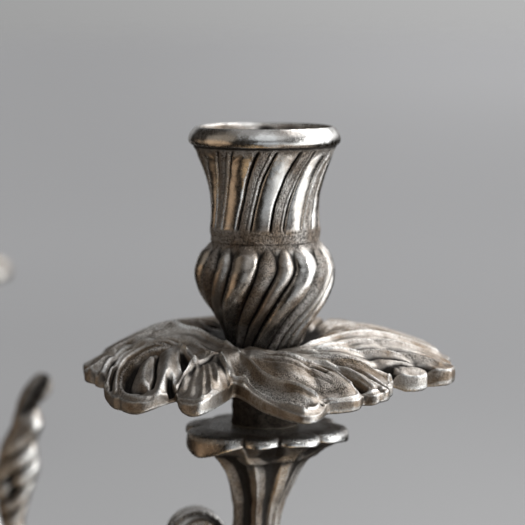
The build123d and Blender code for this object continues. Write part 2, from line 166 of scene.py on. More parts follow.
def signed_volume(points, faces):
    a, b, c, d = (points[faces[:, k]] for k in range(4))
    return float(np.sum(np.einsum("ij,ij->i", a, np.cross(b, c)) + np.einsum("ij,ij->i", a, np.cross(c, d))))


def build(name, mesh, material, body, replaces=(), turned=False):
    piece = bpy.data.objects.new(name, mesh)
    bpy.context.scene.collection.objects.link(piece)
    if turned:
        piece.rotation_euler = (0, 0, math.pi)
    if not mesh.materials:
        mesh.materials.append(material)
    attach(piece, body)
    if replaces:
        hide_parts(*replaces)
    return piece


def turned_skin(profile, count, centre=(0, 0, 0), relief=None, closed=True, phase=0.0):
    """A turned skin from (radius, height) rows. relief(radius, height, angle) gives the
    outward offset, the grain and the darkness at each point."""
    angle = np.arange(count) / count * 2 * math.pi + phase
    radius = np.repeat(profile[:, :1], count, 1)
    height = np.repeat(profile[:, 1:2], count, 1)
    angles = np.repeat(angle[None], len(profile), 0)
    grain, dark = np.zeros_like(radius), np.zeros_like(radius)
    if relief:
        offset, grain, dark = relief(radius, height, angles)
        radius = radius + offset
    points = np.stack([radius * np.cos(angles), radius * np.sin(angles), height], -1)
    points = points + np.asarray(centre, float)
    faces = grid_faces(len(profile), count, closed, True)
    return points, faces, grain + 0 * radius, dark + 0 * radius


# ---------------------------------------------------------------- materials
def add(tree, kind, inputs=None, **settings):
    made = tree.nodes.new(kind)
    for key, value in settings.items():
        setattr(made, key, value)
    for key, value in (inputs or {}).items():
        if isinstance(value, bpy.types.NodeSocket):
            tree.links.new(value, made.inputs[key])
        else:
            made.inputs[key].default_value = value
    return made


def calc(tree, operation, a, b=0.0, c=0.0, clamp=False):
    made = add(tree, "ShaderNodeMath", {0: a, 1: b, 2: c}, operation=operation, use_clamp=clamp)
    return made.outputs[0]


def remap(tree, value, low, high, to_low=0.0, to_high=1.0):
    made = add(tree, "ShaderNodeMapRange",
               {"Value": value, "From Min": low, "From Max": high, "To Min": to_low, "To Max": to_high},
               interpolation_type="SMOOTHSTEP")
    return made.outputs["Result"]


def blend_colour(tree, factor, a, b):
    made = add(tree, "ShaderNodeMix", data_type="RGBA")
    for key, value in ((0, factor), (6, a), (7, b)):
        if isinstance(value, bpy.types.NodeSocket):
            tree.links.new(value, made.inputs[key])
        else:
            made.inputs[key].default_value = value
    return made.outputs[2]


def noise(tree, place, scale, detail=3.0, rough=0.55, warp=0.0):
    made = add(tree, "ShaderNodeTexNoise",
               {"Vector": place, "Scale": scale, "Detail": detail, "Roughness": rough, "Distortion": warp})
    return made.outputs["Fac"]


def silver(name, bright=(0.74, 0.72, 0.69), tarnish=(0.24, 0.183, 0.135), black=(0.016, 0.012, 0.009),
           aged=0.5, matte=0.19, grain_depth=0.16, marked=True, sandy=0.0):
    """Aged silver: worn bright on crests, brown in the open, black in hollows, with cast grain. On marked pieces the
    hollow attribute also carries painted shade, which blackens, and painted highlights, which brighten like worn
    crests.
    """
    material = bpy.data.materials.new(name)
    material.use_nodes = True
    tree = material.node_tree
    shader = tree.nodes["Principled BSDF"]
    place = add(tree, "ShaderNodeTexCoord").outputs["Object"]
    if marked:
        hollow_and_shade = add(tree, "ShaderNodeAttribute", attribute_name="hollow_and_shade").outputs["Fac"]
        grain = add(tree, "ShaderNodeAttribute", attribute_name="grain").outputs["Fac"]
    else:
        pointed = add(tree, "ShaderNodeNewGeometry").outputs["Pointiness"]
        hollow_and_shade = remap(tree, pointed, 0.5, 0.44, 0.0, 0.8)
        grain = remap(tree, noise(tree, place, 90, 3), 0.5, 0.7, sandy, sandy + 0.5)
    cloud = noise(tree, place, 75, 4, 0.6, 0.4)
    patch = noise(tree, place, 420, 4, 0.62)
    fine = noise(tree, place, 2600, 3, 0.6)
    pits = add(tree, "ShaderNodeTexVoronoi", {"Vector": place, "Scale": 1900.0}).outputs["Distance"]
    grit = calc(tree, "MULTIPLY", remap(tree, fine, 0.38, 0.62), remap(tree, pits, 0.0, 0.55))
    # how black: hollows, the painted shade carried with them, grain pits, and a little by patches
    deep = calc(tree, "ADD", hollow_and_shade, calc(tree, "MULTIPLY", calc(tree, "SUBTRACT", patch, 0.5), 0.55))
    black_share = remap(tree, deep, 0.10, 0.85)
    pit_share = calc(tree, "MULTIPLY", grain, remap(tree, grit, 0.42, 0.10), clamp=True)
    black_share = calc(tree, "MAXIMUM", black_share, calc(tree, "MULTIPLY", pit_share, 0.85))
    # how brown: open surfaces, less on worn crests and on painted highlights
    worn = remap(tree, hollow_and_shade, -0.05, -0.55)
    brown = calc(tree, "ADD", remap(tree, cloud, 0.36, 0.66, aged - 0.25, aged + 0.30),
                 calc(tree, "MULTIPLY", calc(tree, "SUBTRACT", patch, 0.5), 0.5))
    brown = calc(tree, "SUBTRACT", calc(tree, "ADD", brown, calc(tree, "MULTIPLY", grain, 0.22)),
                 calc(tree, "MULTIPLY", worn, 0.55), clamp=True)
    colour = blend_colour(tree, brown, (*bright, 1), (*tarnish, 1))
    colour = blend_colour(tree, black_share, colour, (*black, 1))
    tree.links.new(colour, shader.inputs["Base Color"])
    tree.links.new(remap(tree, black_share, 0.2, 1.0, 1.0, 0.55), shader.inputs["Metallic"])
    scuff = noise(tree, place, 900, 3, 0.7)
    rough = calc(tree, "ADD", matte, calc(tree, "MULTIPLY", brown, 0.12))
    rough = calc(tree, "ADD", rough, calc(tree, "MULTIPLY", grain, 0.16))
    rough = calc(tree, "ADD", rough, calc(tree, "MULTIPLY", black_share, 0.22))
    rough = calc(tree, "ADD", rough, remap(tree, scuff, 0.35, 0.7, -0.05, 0.08), clamp=True)
    tree.links.new(rough, shader.inputs["Roughness"])
    # relief: soft dents, fine scuffs, and cast grain where marked
    dents = add(tree, "ShaderNodeBump", {"Height": noise(tree, place, 260, 2, 0.5), "Strength": 0.55,
                                         "Distance": 0.0004})
    scuffs = add(tree, "ShaderNodeBump", {"Height": noise(tree, place, 1500, 4, 0.65), "Strength": 0.5,
                                          "Distance": 0.00006, "Normal": dents.outputs[0]})
    cast = add(tree, "ShaderNodeBump", {"Height": grit, "Distance": grain_depth * 0.001,
                                        "Strength": calc(tree, "ADD", grain, 0.05, clamp=True),
                                        "Normal": scuffs.outputs[0]})
    tree.links.new(cast.outputs[0], shader.inputs["Normal"])
    return material


polished = silver("aged_silver")
pan_silver = silver("aged_silver_matte", tarnish=(0.225, 0.172, 0.125), aged=0.68, matte=0.24, grain_depth=0.14)
rough_cast = silver("rough_cast_silver", bright=(0.42, 0.38, 0.32), tarnish=(0.12, 0.095, 0.075), aged=0.75,
                    matte=0.48, grain_depth=0.45)

# ---------------------------------------------------------------- candle cup
ISLAND = math.radians(VIEW - 90)      # plan direction that faces the camera


def facing(angle):
    """Degrees round from the front, plus to the right, from an angle in plan."""
    return np.degrees(angle - ISLAND)


NECK_PITCH, BULB_PITCH = 36.0, 60.0


def around(x, centre):
    """Signed distance from centre on a circle of length 1."""
    return (x - centre + 0.5) % 1.0 - 0.5


def mound(x, centre, width, power=0.75):
    """Rounded rise of half width width, on a circle of length 1."""
    return np.clip(1 - (around(x, centre) / width) ** 2, 0, 1) ** power


def cup_relief(radius, height, angle):
    front = facing(angle)
    wander = 0.010 * np.sin(height * 0.28 + 5 * angle) + 0.004 * np.sin(height * 0.9 - 3 * angle)
    # neck: smooth panels and sandy strips, with a dark groove at each side of a strip
    turn = 25.0 * np.clip((height - 50.0) / 20.0, 0, 1.1) ** 1.35
    p = ((front + 51.0 - turn) / NECK_PITCH + wander) % 1.0
    wide = 0.545
    q = np.clip(around(p, wide / 2) / (wide / 2), -1, 1)
    in_panel = np.abs(around(p, wide / 2)) < wide / 2
    on_neck = smooth(49.6, 51.0, height) * (1 - smooth(69.6, 70.6, height))
    end = 69.2 - 2.6 * np.abs(q) ** 1.6
    panel = np.clip(1 - q ** 2, 0, 1) ** 0.6 * in_panel * smooth(-0.5, 5.0, end - height)
    tail = smooth(70.8, 68.8, height)
    groove = bump(around(p, wide + 0.025), 0, 0.036) + 0.8 * bump(around(p, 0.985), 0, 0.026)
    strip = mound(p, wide + 0.235, 0.155, 0.6)
    vein = bump(around(p, wide + 0.30), 0, 0.018)
    over = 0.35 * bump(height - end, 0.5, 0.7) * in_panel
    neck = on_neck * (0.55 * panel - 1.25 * groove * tail + 0.30 * strip * tail - 0.35 * vein * tail - 0.35 * over - 0.2)
    neck_grain = on_neck * (0.95 * strip + 0.25 * over)
    sandy = smooth(50.8, 49.8, height) * smooth(46.4, 47.2, height)
    neck_grain = neck_grain + 1.0 * sandy + 0.7 * smooth(68.3, 69.8, height) * (height < 71)
    neck_dark = on_neck * (1.0 * groove * tail + 0.4 * vein * tail + 0.25 * over) + 0.10 * sandy
    neck_dark = neck_dark + 0.55 * bump(height, 70.7, 0.6) + 0.22 * smooth(67.5, 69.5, height) * (height < 71)
    # bulb: a wide swelling lobe and two reeds with deep furrows between, six times
    sweep = -54.0 * np.clip((41.5 - height) / 22.0, 0, 1.1) ** 1.35
    w = ((front + 31.0 - sweep) / BULB_PITCH + wander) % 1.0
    size = 0.30 + 0.70 * np.sin(np.pi * np.clip((height - 16.0) / 33.0, 0, 1))
    bulb, bulb_grain = -0.75 * size, np.zeros_like(height)
    for centre, half, tall, top, sandy_share in ((0.205, 0.215, 2.5, 46.9, 0.0), (0.560, 0.130, 1.9, 45.7, 0.9),
                                                 (0.835, 0.125, 2.0, 46.0, 0.25)):
        out = around(w, centre) / half
        dome = np.clip((top - 2.6 * out ** 2 - height) / 2.4, 0, 1) ** 0.5
        rise = tall * size * np.clip(1 - out ** 2, 0, 1) ** 0.62 * dome * np.clip((height - 18.8) / 2.5, 0, 1)
        bulb = np.maximum(bulb, rise * 1.12 - 0.75 * size)
        bulb_grain = bulb_grain + sandy_share * (np.abs(out) < 1) * smooth(47, 44, height)
    lines = bump(around(w, 0.12), 0, 0.012) + bump(around(w, 0.30), 0, 0.012)
    bulb = bulb - 0.14 * lines * smooth(36, 26, height)
    valley = smooth(0.55, -0.55, bulb / np.maximum(size, 0.1))
    bulb_dark = 0.75 * valley * smooth(46.5, 44.0, height) + 0.16 * smooth(33.0, 20.0, height) + 0.3 * lines
    bulb_grain = bulb_grain + 0.8 * smooth(44.6, 46.6, height) + 0.25 * valley
    low = height < 47.0
    offset = np.where(low, bulb, neck)
    grain = np.where(low, bulb_grain, neck_grain)
    dark = np.where(low, bulb_dark, neck_dark)
    rim = smooth(70.9, 71.8, height)
    wobble = 0.16 * np.sin(3 * angle + 1.0) + 0.10 * np.sin(7 * angle + 2.0) + 0.05 * np.sin(17 * angle)
    points = np.stack([radius * np.cos(angle), radius * np.sin(angle), height], -1)
    dark = dark - 0.3 * rim * smooth(71.2, 72.4, height)
    offset = offset * (1 - rim) + rim * wobble + 0.05 * uneven(points, 3.0) + 0.14 * sandy * uneven(points, 1.6)
    inside = np.cumsum(np.ones_like(height), 0) > OUTSIDE_ROWS
    # the inside of the cup is marked darker, in uneven patches
    inside_darkness = 0.45 + 0.5 * uneven(points, 3.2)
    return (np.where(inside, 0.12 * uneven(points, 3.0) * (height > 67), offset),
            np.where(inside, 0.6, np.clip(grain, 0, 1)), np.where(inside, inside_darkness, dark))


outside = dense([(8.6, 19.0), (8.7, 20.5), (9.5, 24), (11.5, 28), (13.7, 32), (15.4, 36), (16.1, 39.5),
                 (15.8, 42), (15.0, 44.2), (14.2, 45.6), (13.8, 46.8), (13.7, 47.6), (13.8, 48.8),
                 (13.85, 49.8), (13.6, 51.2), (13.45, 55), (13.8, 59), (14.7, 63), (15.9, 66), (17.1, 68.4),
                 (17.8, 70.1), (17.9, 70.7), (18.5, 71.1), (18.95, 71.9), (19.0, 72.7), (18.7, 73.7),
                 (18.0, 74.7), (17.35, 75.4), (17.0, 75.55), (16.75, 75.4)], 0.22)
OUTSIDE_ROWS = len(outside)
mouth = dense([(16.75, 75.4), (16.5, 74.9), (16.1, 73.6), (15.2, 71.6), (13.9, 69.4), (12.7, 67.6), (11.9, 66.2),
               (11.62, 65.0)], 0.5)
bore = dense([(11.62, 65.0), (11.6, 46.0), (7.0, 46.0), (7.0, 26.0), (3.15, 26.0), (3.15, 19.0), (8.4, 19.0)],
             2.2, False)
cup_profile = np.vstack([outside, mouth[1:], bore[1:]])
cup = Shell()
cup.add(*turned_skin(cup_profile, 600, (REACH, 0, SEAT), cup_relief))
cup_mesh = cup.mesh("candle_cup_mesh", 12)

# ---------------------------------------------------------------- drip pan
# The pan is one sheet of cast leaves. It is drawn in plan round its own axis: angles are
# degrees counter-clockwise from the camera's right, so 270 faces the camera.
PAN_HUB_R, PAN_HUB_Z = 8.6, 19.3
PAN_OUTLINE = [(0, 46), (4, 45.4), (9, 42.5), (13, 45.5), (22, 46.5), (31, 45.6), (35, 42.5), (39, 45), (48, 46.5),
               (57, 45.6), (61, 42.5), (65, 45), (74, 46.5), (83, 45.6), (87, 42.5), (91, 45), (100, 46.5),
               (109, 45.6), (113, 42.5), (117, 45), (126, 46.5), (135, 45.6), (139, 42.5), (143, 45), (152, 46.5),
               (161, 45.6), (165, 42.5), (169, 44.5), (178, 45.5), (184, 44.8), (187.4, 41.8), (190, 44.6),
               (195, 46), (198.4, 45.2), (200, 42), (201.6, 44.8), (204, 44.6), (206, 41.8), (208, 44), (214, 46.4),
               (219, 47.4), (222, 48.2), (224.5, 47.8), (226, 48.8), (230, 49.8), (235, 49.4), (237, 47.6),
               (239, 44.2), (240.4, 42.8), (241.8, 43.4), (243.6, 45.6), (246, 47.6), (249, 48.6), (252, 48.6), (254, 45.6),
               (255.5, 40), (256.5, 34.8), (259, 34.8), (264, 38), (268, 42), (273, 47.6), (276, 52.4), (278.5, 55.8),
               (281, 56.2), (283.5, 54.4), (285, 52), (286, 49.8), (287.2, 48.2), (290, 49), (294, 50.2),
               (296.6, 49.6), (298.2, 47.6), (299.4, 46.6), (300.2, 48.8), (302, 49.6), (303.6, 48.6), (305, 49.2),
               (307, 48.4), (308.2, 46.9), (310, 46.8), (312.2, 44.6), (313.2, 43.2), (315, 43), (317, 41.4),
               (318.8, 39.6), (320, 40.4), (321.4, 42.8), (324, 45.2), (327, 46.4), (328.8, 45.4), (330, 43.8),
               (331.4, 47.6), (334, 49.9), (338, 49.7), (342, 48), (347, 46.4), (351, 45.8), (355, 46.2)]
PAN_EDGE_Z = [(0, 17.6), (45, 16.4), (90, 15.4), (135, 15), (170, 15.2), (195, 16), (204, 15.6), (212, 14.6),
              (219, 12.7), (232, 12.6), (237, 13.2), (240.4, 14.2), (244, 13.3), (250, 13.2), (254, 14.6), (257, 16.4),
              (262, 16.1), (266, 14.7), (270, 13.7), (274, 12.9), (278, 12.3), (282, 12.1), (285.6, 12.8), (288, 14),
              (296, 14.4), (303, 14.9), (311, 15.8), (318, 16.4), (320, 16.8), (325, 16.8), (330, 17.4), (336, 17.8)]
PAN_WALL = [(0, 3.8), (200, 3.4), (214, 3.5), (232, 3.3), (236, 2.6), (240.4, 1.7), (244, 2.4), (248, 3.3), (262, 3.8), (266, 3.4),
            (270, 3.1), (274, 2.7), (278, 2.2), (284, 2.0), (287, 2.9), (290, 3.3), (296, 3.0), (303, 2.5), (314, 2.7),
            (319, 2.2), (322, 4.1), (337, 4.2), (345, 3.8)]
PAN_SWELL = [(0, 4.9), (45, 4.9), (90, 5.1), (135, 5.7), (165, 6.3), (190, 6.5), (210, 5.9), (235, 4.0), (270, 3.5),
             (300, 3.9), (330, 4.7)]


# painted light and shade round the pan by angle, set to how bright each part looks under the light: plus darkens, minus
# lightens
PAN_PAINTED_LIGHT_AND_SHADE = [(0, 0.1), (60, 0), (160, -0.1), (180, -0.3), (200, -0.05), (236, 0), (246, 0.22), (254, 0), (262, -0.25),
            (285, -0.05), (305, -0.08), (322, 0.32), (345, 0.3)]
# painted shade on the pan's hanging walls, by angle
WALL_PAINTED_SHADE = [(0, 0.42), (170, 0.6), (190, 0.75), (206, 0.72), (228, 0.6), (238, 0.5), (250, 0.4), (300, 0.42),
             (322, 0.36), (345, 0.4)]


def lookup(table, angle):
    """Reads an (angle, value) table that wraps round the circle."""
    at, value = zip(*table)
    return np.interp(angle % 360, at, value, period=360)


def pan_ground(angle, radius, reach):
    """Height of the leaf sheet before its ridges and hollows."""
    s = np.clip((radius - PAN_HUB_R) / (reach - PAN_HUB_R), 0, 1)
    swell = np.clip(np.sin(math.pi * s ** 0.8), 0, 1) ** 1.1
    return PAN_HUB_Z + lookup(PAN_SWELL, angle) * swell + (lookup(PAN_EDGE_Z, angle) - PAN_HUB_Z) * s ** 1.6


# Raised parts that lie over their neighbours: outline as (angle, radius), height, softness.
OVERLAPS = [
    # curled leaf
    ([(246, 27), (236, 25.4), (227, 24.4), (216, 25.6), (210, 27.6), (204, 30.6), (198.4, 34.4), (197, 38),
      (200.4, 41.4), (204, 44), (206, 50), (215, 56), (232, 56), (241, 52), (240.4, 43), (239.6, 38), (240, 33),
      (243, 29.6)], 0.9, 0.35),
    # channelled band
    ([(244, 24), (248.7, 29.5), (253.8, 33.8), (257, 36), (262, 40), (268, 46), (273, 52), (277, 58), (285, 58),
      (287, 50), (284.4, 48), (282, 46.5), (277.4, 43.5), (273.6, 39.5), (269.3, 35), (264, 29.5), (256, 25),
      (250, 22.5)], 0.7, 0.35),
    # long leaf
    ([(250, 22.5), (256, 25), (264, 29.5), (269.3, 35), (273.6, 39.5), (277.4, 43.5), (282, 46.5), (284.4, 48),
      (287, 50), (290, 54), (297, 54), (299, 49), (297.4, 46.5), (296.4, 44), (295.6, 41), (294.4, 38), (290, 34.6),
      (282.5, 31), (272, 26.4), (262, 21.5)], 0.55, 0.35),
    # right leaf
    ([(284, 19.6), (293, 24.4), (301, 29.6), (309, 33.4), (316.6, 36), (322, 38.2), (326, 40.8), (329.4, 43.4),
      (330, 47), (332, 53), (343, 53), (356, 47), (352, 36), (345, 24), (330, 16), (305, 15)], 0.5, 0.7),
]

# Ridges and hollows: (angle, radius) points, half width from start to end, height, shape
# (2 soft, 4 steep sided), sandiness, darkness. The darkness is patina in grooves together with painted
# shade on shaded faces and gaps; below zero it paints highlight lines on rims and crests.
STROKES = [
    # back of the left leaf
    ([(150, 14), (166, 18.6), (179, 24), (187, 30), (190.6, 37), (190, 43)], 1.4, 1.3, 1.3, 2, 0.4, 0.05),
    ([(160, 13.4), (176, 18), (186.6, 24.4), (191.4, 30), (193, 37)], 0.6, 0.8, -1.4, 2, 0.3, 1.0),
    ([(138, 15), (156, 20), (170, 26), (180, 33), (185.6, 40)], 0.6, 0.8, -1.4, 2, 0.3, 0.95),
    ([(190, 15), (192, 20), (195, 26), (196, 31), (194.6, 37), (194.6, 44)], 0.8, 0.7, -1.7, 2, 0.3, 1.0),
    ([(200, 21), (198.6, 25), (198.6, 30), (196.6, 35), (196.8, 41), (198, 45)], 1.0, 0.8, 1.1, 2, 0.4, 0.25),
    ([(240, 23.4), (226, 21.8), (212, 23), (205, 25.8), (201, 29.8), (196.4, 34), (196.2, 38.6), (200, 43)], 1.5, 0.6,
     -1.6, 2, 0.2, 0.9),
    ([(252, 21), (238, 19), (222, 17.6), (208, 18.6), (199, 23), (194, 28)], 1.0, 0.9, 1.4, 2, 0, -0.45),
    # outer ridges of the curled leaf
    ([(240, 26.6), (227, 25.6), (214, 27), (205, 31), (200, 35), (199, 38.4), (202.6, 42), (206.6, 45)], 0.6, 0.6, 0.7,
     2, 0.2, -0.25),
    ([(226, 26.6), (214, 28.4), (206.8, 32), (202.4, 35.8), (201.8, 38.8), (205, 42), (210, 45.4)], 0.45, 0.5, -1.1, 2, 0,
     0.8),
    ([(224, 27.6), (213.6, 29.8), (207.6, 33), (204.6, 36.6), (204.8, 39.6), (208.4, 42.6), (213.6, 45.9)], 0.6, 0.6, 0.8,
     2, 0.1, -0.05),
    ([(221, 28.6), (212.4, 31.2), (208, 34.4), (206.6, 37.6), (208, 40.8), (212, 43.6), (217, 46.4)], 0.35, 0.4, -0.8, 2,
     0, 0.65),
    ([(219.6, 29.2), (211.6, 32.2), (208.4, 35.2), (208.2, 38.2), (210.6, 41.2), (215, 44), (219.8, 46.7)], 0.4, 0.45,
     0.9, 2, 0, -0.45),
    ([(223, 29.2), (214.4, 32.4), (211.6, 35.8), (212, 38.8), (214.8, 41.8), (219.6, 44.6), (224, 46.6)], 1.2, 1.4, 0.45,
     3, 1.0, -0.05),
    # the deep curl with its tongue, the smooth nose and the eye beside it
    ([(218.4, 32.4), (215, 35.2), (215, 38.2), (217.4, 41.2)], 0.6, 1.6, -2.8, 3, 0.2, 0.8),
    ([(217.4, 41.2), (221.6, 44), (226.6, 45.6), (231, 46)], 1.6, 0.9, -2.8, 3, 0.2, 0.8),
    ([(219.6, 34.6), (221, 37.6), (224.5, 41), (229.5, 44.6)], 1.1, 1.5, 1.1, 2, 0.3, -0.1),
    ([(218, 32.6), (224, 36.6), (230, 40.8), (233, 44.6)], 0.4, 0.5, -1.3, 2, 0, 0.8),
    ([(221, 30.6), (227, 33.8), (232, 38.2), (235.2, 42.2), (237, 46)], 2.2, 1.4, 1.3, 2, 0, -0.1),
    ([(224, 47.4), (229, 48.6), (234, 48.6), (237, 47)], 0.8, 0.8, 0.6, 2, 0.3, -0.15),
    ([(234.8, 39.6), (237.4, 42), (239.6, 43.6)], 0.6, 1.0, -3.2, 4, 0, 1.0),
    ([(226.5, 29.4), (234, 32.6)], 0.5, 1.5, -2.8, 4, 0, 1.1),
    ([(234, 32.6), (238.4, 36.8)], 1.5, 0.4, -2.8, 4, 0, 1.1),
    ([(222, 28.4), (228, 29)], 0.6, 0.6, 0.9, 2, 0, -0.3),
    ([(236.6, 31), (240, 33.4)], 0.7, 0.7, 0.7, 2, 0.2, -0.3),
    # shell
    ([(237, 28), (243, 28.4), (249, 30)], 1.1, 1.0, 0.7, 2, 0.7, 0.1),
    ([(238, 31), (238, 34.6), (240.4, 38.6), (242.4, 42)], 0.8, 1.1, 0.8, 2, 0.2, -0.1),
    ([(239.4, 31), (241.6, 35), (244.6, 40), (247.2, 45)], 0.5, 0.8, 0.4, 2, 0.2, 0.12),
    ([(241, 31), (245, 35), (249, 41), (251.4, 46.4)], 0.4, 0.6, 0.45, 2, 0.2, 0.05),
    ([(243.4, 31), (248.4, 36), (252.6, 42.4), (254, 45)], 0.4, 0.6, 0.4, 2, 0.3, 0.2),
    ([(246, 31), (250.6, 35.1), (254, 39.4)], 0.5, 0.7, 0.4, 2, 0, 0.25),
    ([(242, 44.6), (246, 46.8), (250, 47.7), (252.6, 46.4), (254.6, 42.4)], 0.5, 0.5, 0.35, 2, 0.1, -0.15),
    # channelled band
    ([(250.6, 26), (257, 29.8), (262, 32.2), (266.5, 36.4), (270.6, 41), (275, 46), (279.6, 50.6)], 1.5, 2.5, -1.3, 3,
     0.7, -0.35),
    ([(246, 26.5), (249.4, 30), (254, 33.4), (257.6, 34.2), (262.4, 34.8), (266.4, 38.6), (270.4, 42.8), (274.4, 48),
      (277.4, 52.4), (279.4, 54.6)], 0.5, 0.6, 0.9, 2, 0, -0.35),
    ([(261.6, 34), (263.6, 35.2)], 0.8, 0.8, 0.6, 2, 0, -0.5),
    ([(252, 23), (256, 25.2), (264, 29.6), (269.3, 35), (273.6, 39.5), (277.4, 43.5), (282, 46.4), (284.6, 47.8)], 0.5,
     0.5, 1.0, 2, 0, -0.5),
    ([(279.6, 53.6), (282.6, 53), (284.2, 50.6)], 0.6, 0.5, 0.4, 2, 0, -0.35),
    ([(283.6, 50), (284.8, 49.8)], 0.5, 0.5, -1.0, 2, 0, 0.6),
    # long leaf
    ([(264, 20), (274, 26.6), (284, 33), (290.6, 39.4), (294.4, 45)], 3.2, 2.6, 0.8, 2, 0.3, 0.0),
    ([(272, 25.6), (282, 29.8), (290, 34.8), (293.6, 39)], 0.3, 0.3, -0.3, 2, 0, 0.3),
    ([(270, 26.8), (280, 31), (288, 36.6), (292.4, 41.6)], 0.3, 0.3, -0.3, 2, 0, 0.3),
    ([(268, 27.8), (278, 32.4), (286, 38), (291, 43.4)], 0.3, 0.3, -0.25, 2, 0, 0.2),
    ([(287.2, 35.6), (289.6, 37.2), (291.6, 39.2)], 0.45, 0.45, -0.8, 2, 0, 0.9),
    ([(262, 25.4), (268.6, 31.4), (273.4, 36.4), (279.4, 40.6), (286, 43.8), (292, 46.2)], 1.3, 1.5, -0.3, 2, 1.0, 0.3),
    ([(272, 26), (282.5, 31.2), (290, 34.8), (294.2, 38.2), (295.8, 42), (296.6, 45.4)], 0.45, 0.5, 0.6, 2, 0, -0.45),
    ([(284.6, 47.8), (287.6, 47.6), (290.4, 48.8), (294.6, 49.4), (297, 48.2), (297.4, 46)], 0.45, 0.45, 0.3, 2, 0, -0.6),
    # toothed leaf
    ([(285, 21.6), (293, 25.4), (301, 30.6), (309, 34.4), (316.6, 36.8), (320, 39.6)], 0.6, 0.8, -1.2, 2, 0, 1.0),
    ([(291, 26.8), (300, 32), (308, 36), (315, 38.8), (317.6, 41)], 0.5, 0.7, 0.5, 2, 0, -0.35),
    ([(296, 29.6), (304, 34.4), (310, 38.8), (314, 41.6)], 1.4, 1.6, 0.6, 2, 0.9, -0.05),
    ([(291, 31.6), (295.6, 34.8), (298, 38.4), (299.4, 42), (300.4, 46)], 0.6, 0.9, -1.5, 3, 0, 0.9),
    ([(294, 31), (299, 35.6), (301.8, 39.6), (303, 43.2), (303.4, 46.6)], 0.6, 0.7, 0.5, 2, 0.1, -0.15),
    ([(299, 33), (303, 37), (305.2, 40.4), (305.6, 43)], 0.4, 0.5, -0.5, 2, 0.4, 0.4),
    ([(305.4, 42.4), (306.4, 45), (307.4, 48.6)], 0.5, 0.6, -1.4, 3, 0, 0.9),
    ([(298.4, 46.6), (300.4, 47.8), (303, 47.8), (305.4, 47.8)], 0.4, 0.4, 0.3, 2, 0, -0.6),
    ([(303.9, 46.6), (304.4, 48.6)], 0.35, 0.4, -0.6, 2, 0, 0.3),
    ([(308.6, 46.4), (311, 45.4), (313.6, 42.8), (317, 40.8)], 0.4, 0.4, 0.3, 2, 0, -0.6),
    # small leaf and its gaps
    ([(317.4, 37.2), (319.2, 39.4), (320, 42)], 0.4, 0.6, -1.6, 3, 0, 1.0),
    ([(322, 38.4), (326, 41), (329.4, 43.6), (330.4, 46.8)], 0.45, 0.6, -1.2, 3, 0, 0.8),
    ([(322, 41), (327, 44.4)], 1.5, 1.5, 0.3, 2, 0.2, -0.2),
    # right leaf: a fan of ridges from the hub to the tips
    ([(290, 19), (299, 20.8), (311, 20.8), (323, 21.4), (333, 23.8), (341, 27.2), (347, 31.5), (351, 37), (353, 43)], 0.6,
     1.5, 1.1, 2, 0.2, -0.45),
    ([(293, 21.2), (302, 23), (313, 23.4), (324, 25), (334, 28.6), (341, 33), (346, 38), (348, 44)], 0.3, 0.8, -1.0, 2,
     0, 0.5),
    ([(294, 22.4), (303, 24.6), (314, 25.6), (325, 28), (332, 31.8), (337.6, 36.4), (341, 41.4), (343, 47)], 0.4, 1.2,
     0.7, 2, 0.3, -0.3),
    ([(295, 23.6), (304, 26.2), (314, 27.6), (323, 30.6), (329.6, 34.6), (334, 39.2), (337, 44), (338, 48)], 0.3, 0.6,
     -0.9, 2, 0, 0.5),
    ([(296, 24.4), (304, 27.4), (313.6, 29.4), (321.4, 32.6), (327.6, 36.6), (331.6, 41), (334.4, 47)], 0.35, 0.9, 0.6, 2,
     0.5, -0.25),
    ([(297, 25.4), (304, 28.6), (312.6, 31), (320, 34.2), (325.6, 38), (329.4, 42.4)], 0.4, 0.7, -0.4, 2, 0, 0.4),
    ([(318, 15), (336, 18), (347, 23.6), (354, 30), (357, 38)], 0.5, 0.8, -1.0, 2, 0.1, 0.6),
    ([(326, 13), (342, 15.6), (353, 20.6), (360, 28), (363, 38), (364, 43)], 0.9, 1.3, 0.9, 2, 0.4, -0.15),
]


def leaf_at_back(way):
    """Ridges of one plain leaf whose tip points along way, with darker lines between them and a dark gap beside it:
    patina and painted shade.
    """
    made = []
    for place, tall in ((-8, 0.8), (-2.4, 0.9), (3.2, 0.9), (8.6, 0.8)):
        sweep = [(way - 26 + place * 0.7, 13), (way - 15 + place, 20), (way - 5 + place * 1.1, 30),
                 (way + place * 1.05, 37), (way + place * 0.8, 44)]
        made.append((sweep, 1.0, 1.2, tall, 2, 0.3, -0.05))
        between = [(a + 2.8, r) for a, r in sweep]
        made.append((between, 0.5, 0.6, -0.7, 2, 0.2, 0.45))
    gap = [(way - 14, 15), (way - 2, 21), (way + 9, 31), (way + 13, 40), (way + 13, 46)]
    made.append((gap, 0.8, 1.0, -1.9, 3, 0, 0.9))
    return made


for way in (22, 48, 74, 100, 126, 152):
    STROKES += leaf_at_back(way)


def plan(track):
    return np.array([(r * math.cos(math.radians(a)), r * math.sin(math.radians(a))) for a, r in track])


def nearest(x, y, line):
    """Distance from each point to a polyline, and how far along it the nearest spot lies."""
    best, along = np.full(x.shape, 1e9), np.zeros(x.shape)
    step = np.r_[0, np.cumsum(np.linalg.norm(np.diff(line, axis=0), axis=1))]
    for k in range(len(line) - 1):
        a, d = line[k], line[k + 1] - line[k]
        f = np.clip(((x - a[0]) * d[0] + (y - a[1]) * d[1]) / max(d @ d, 1e-9), 0, 1)
        gap = np.hypot(x - a[0] - f * d[0], y - a[1] - f * d[1])
        closer = gap < best
        best = np.where(closer, gap, best)
        along = np.where(closer, (step[k] + f * (step[k + 1] - step[k])) / step[-1], along)
    return best, along


def inside_of(x, y, ring):
    """True inside a closed outline."""
    within = np.zeros(x.shape, bool)
    for (x0, y0), (x1, y1) in zip(ring, np.roll(ring, -1, 0)):
        crossed = (y0 > y) != (y1 > y)
        within ^= crossed & (x < x0 + (y - y0) * (x1 - x0) / (y1 - y0 if y1 != y0 else 1e-9))
    return within


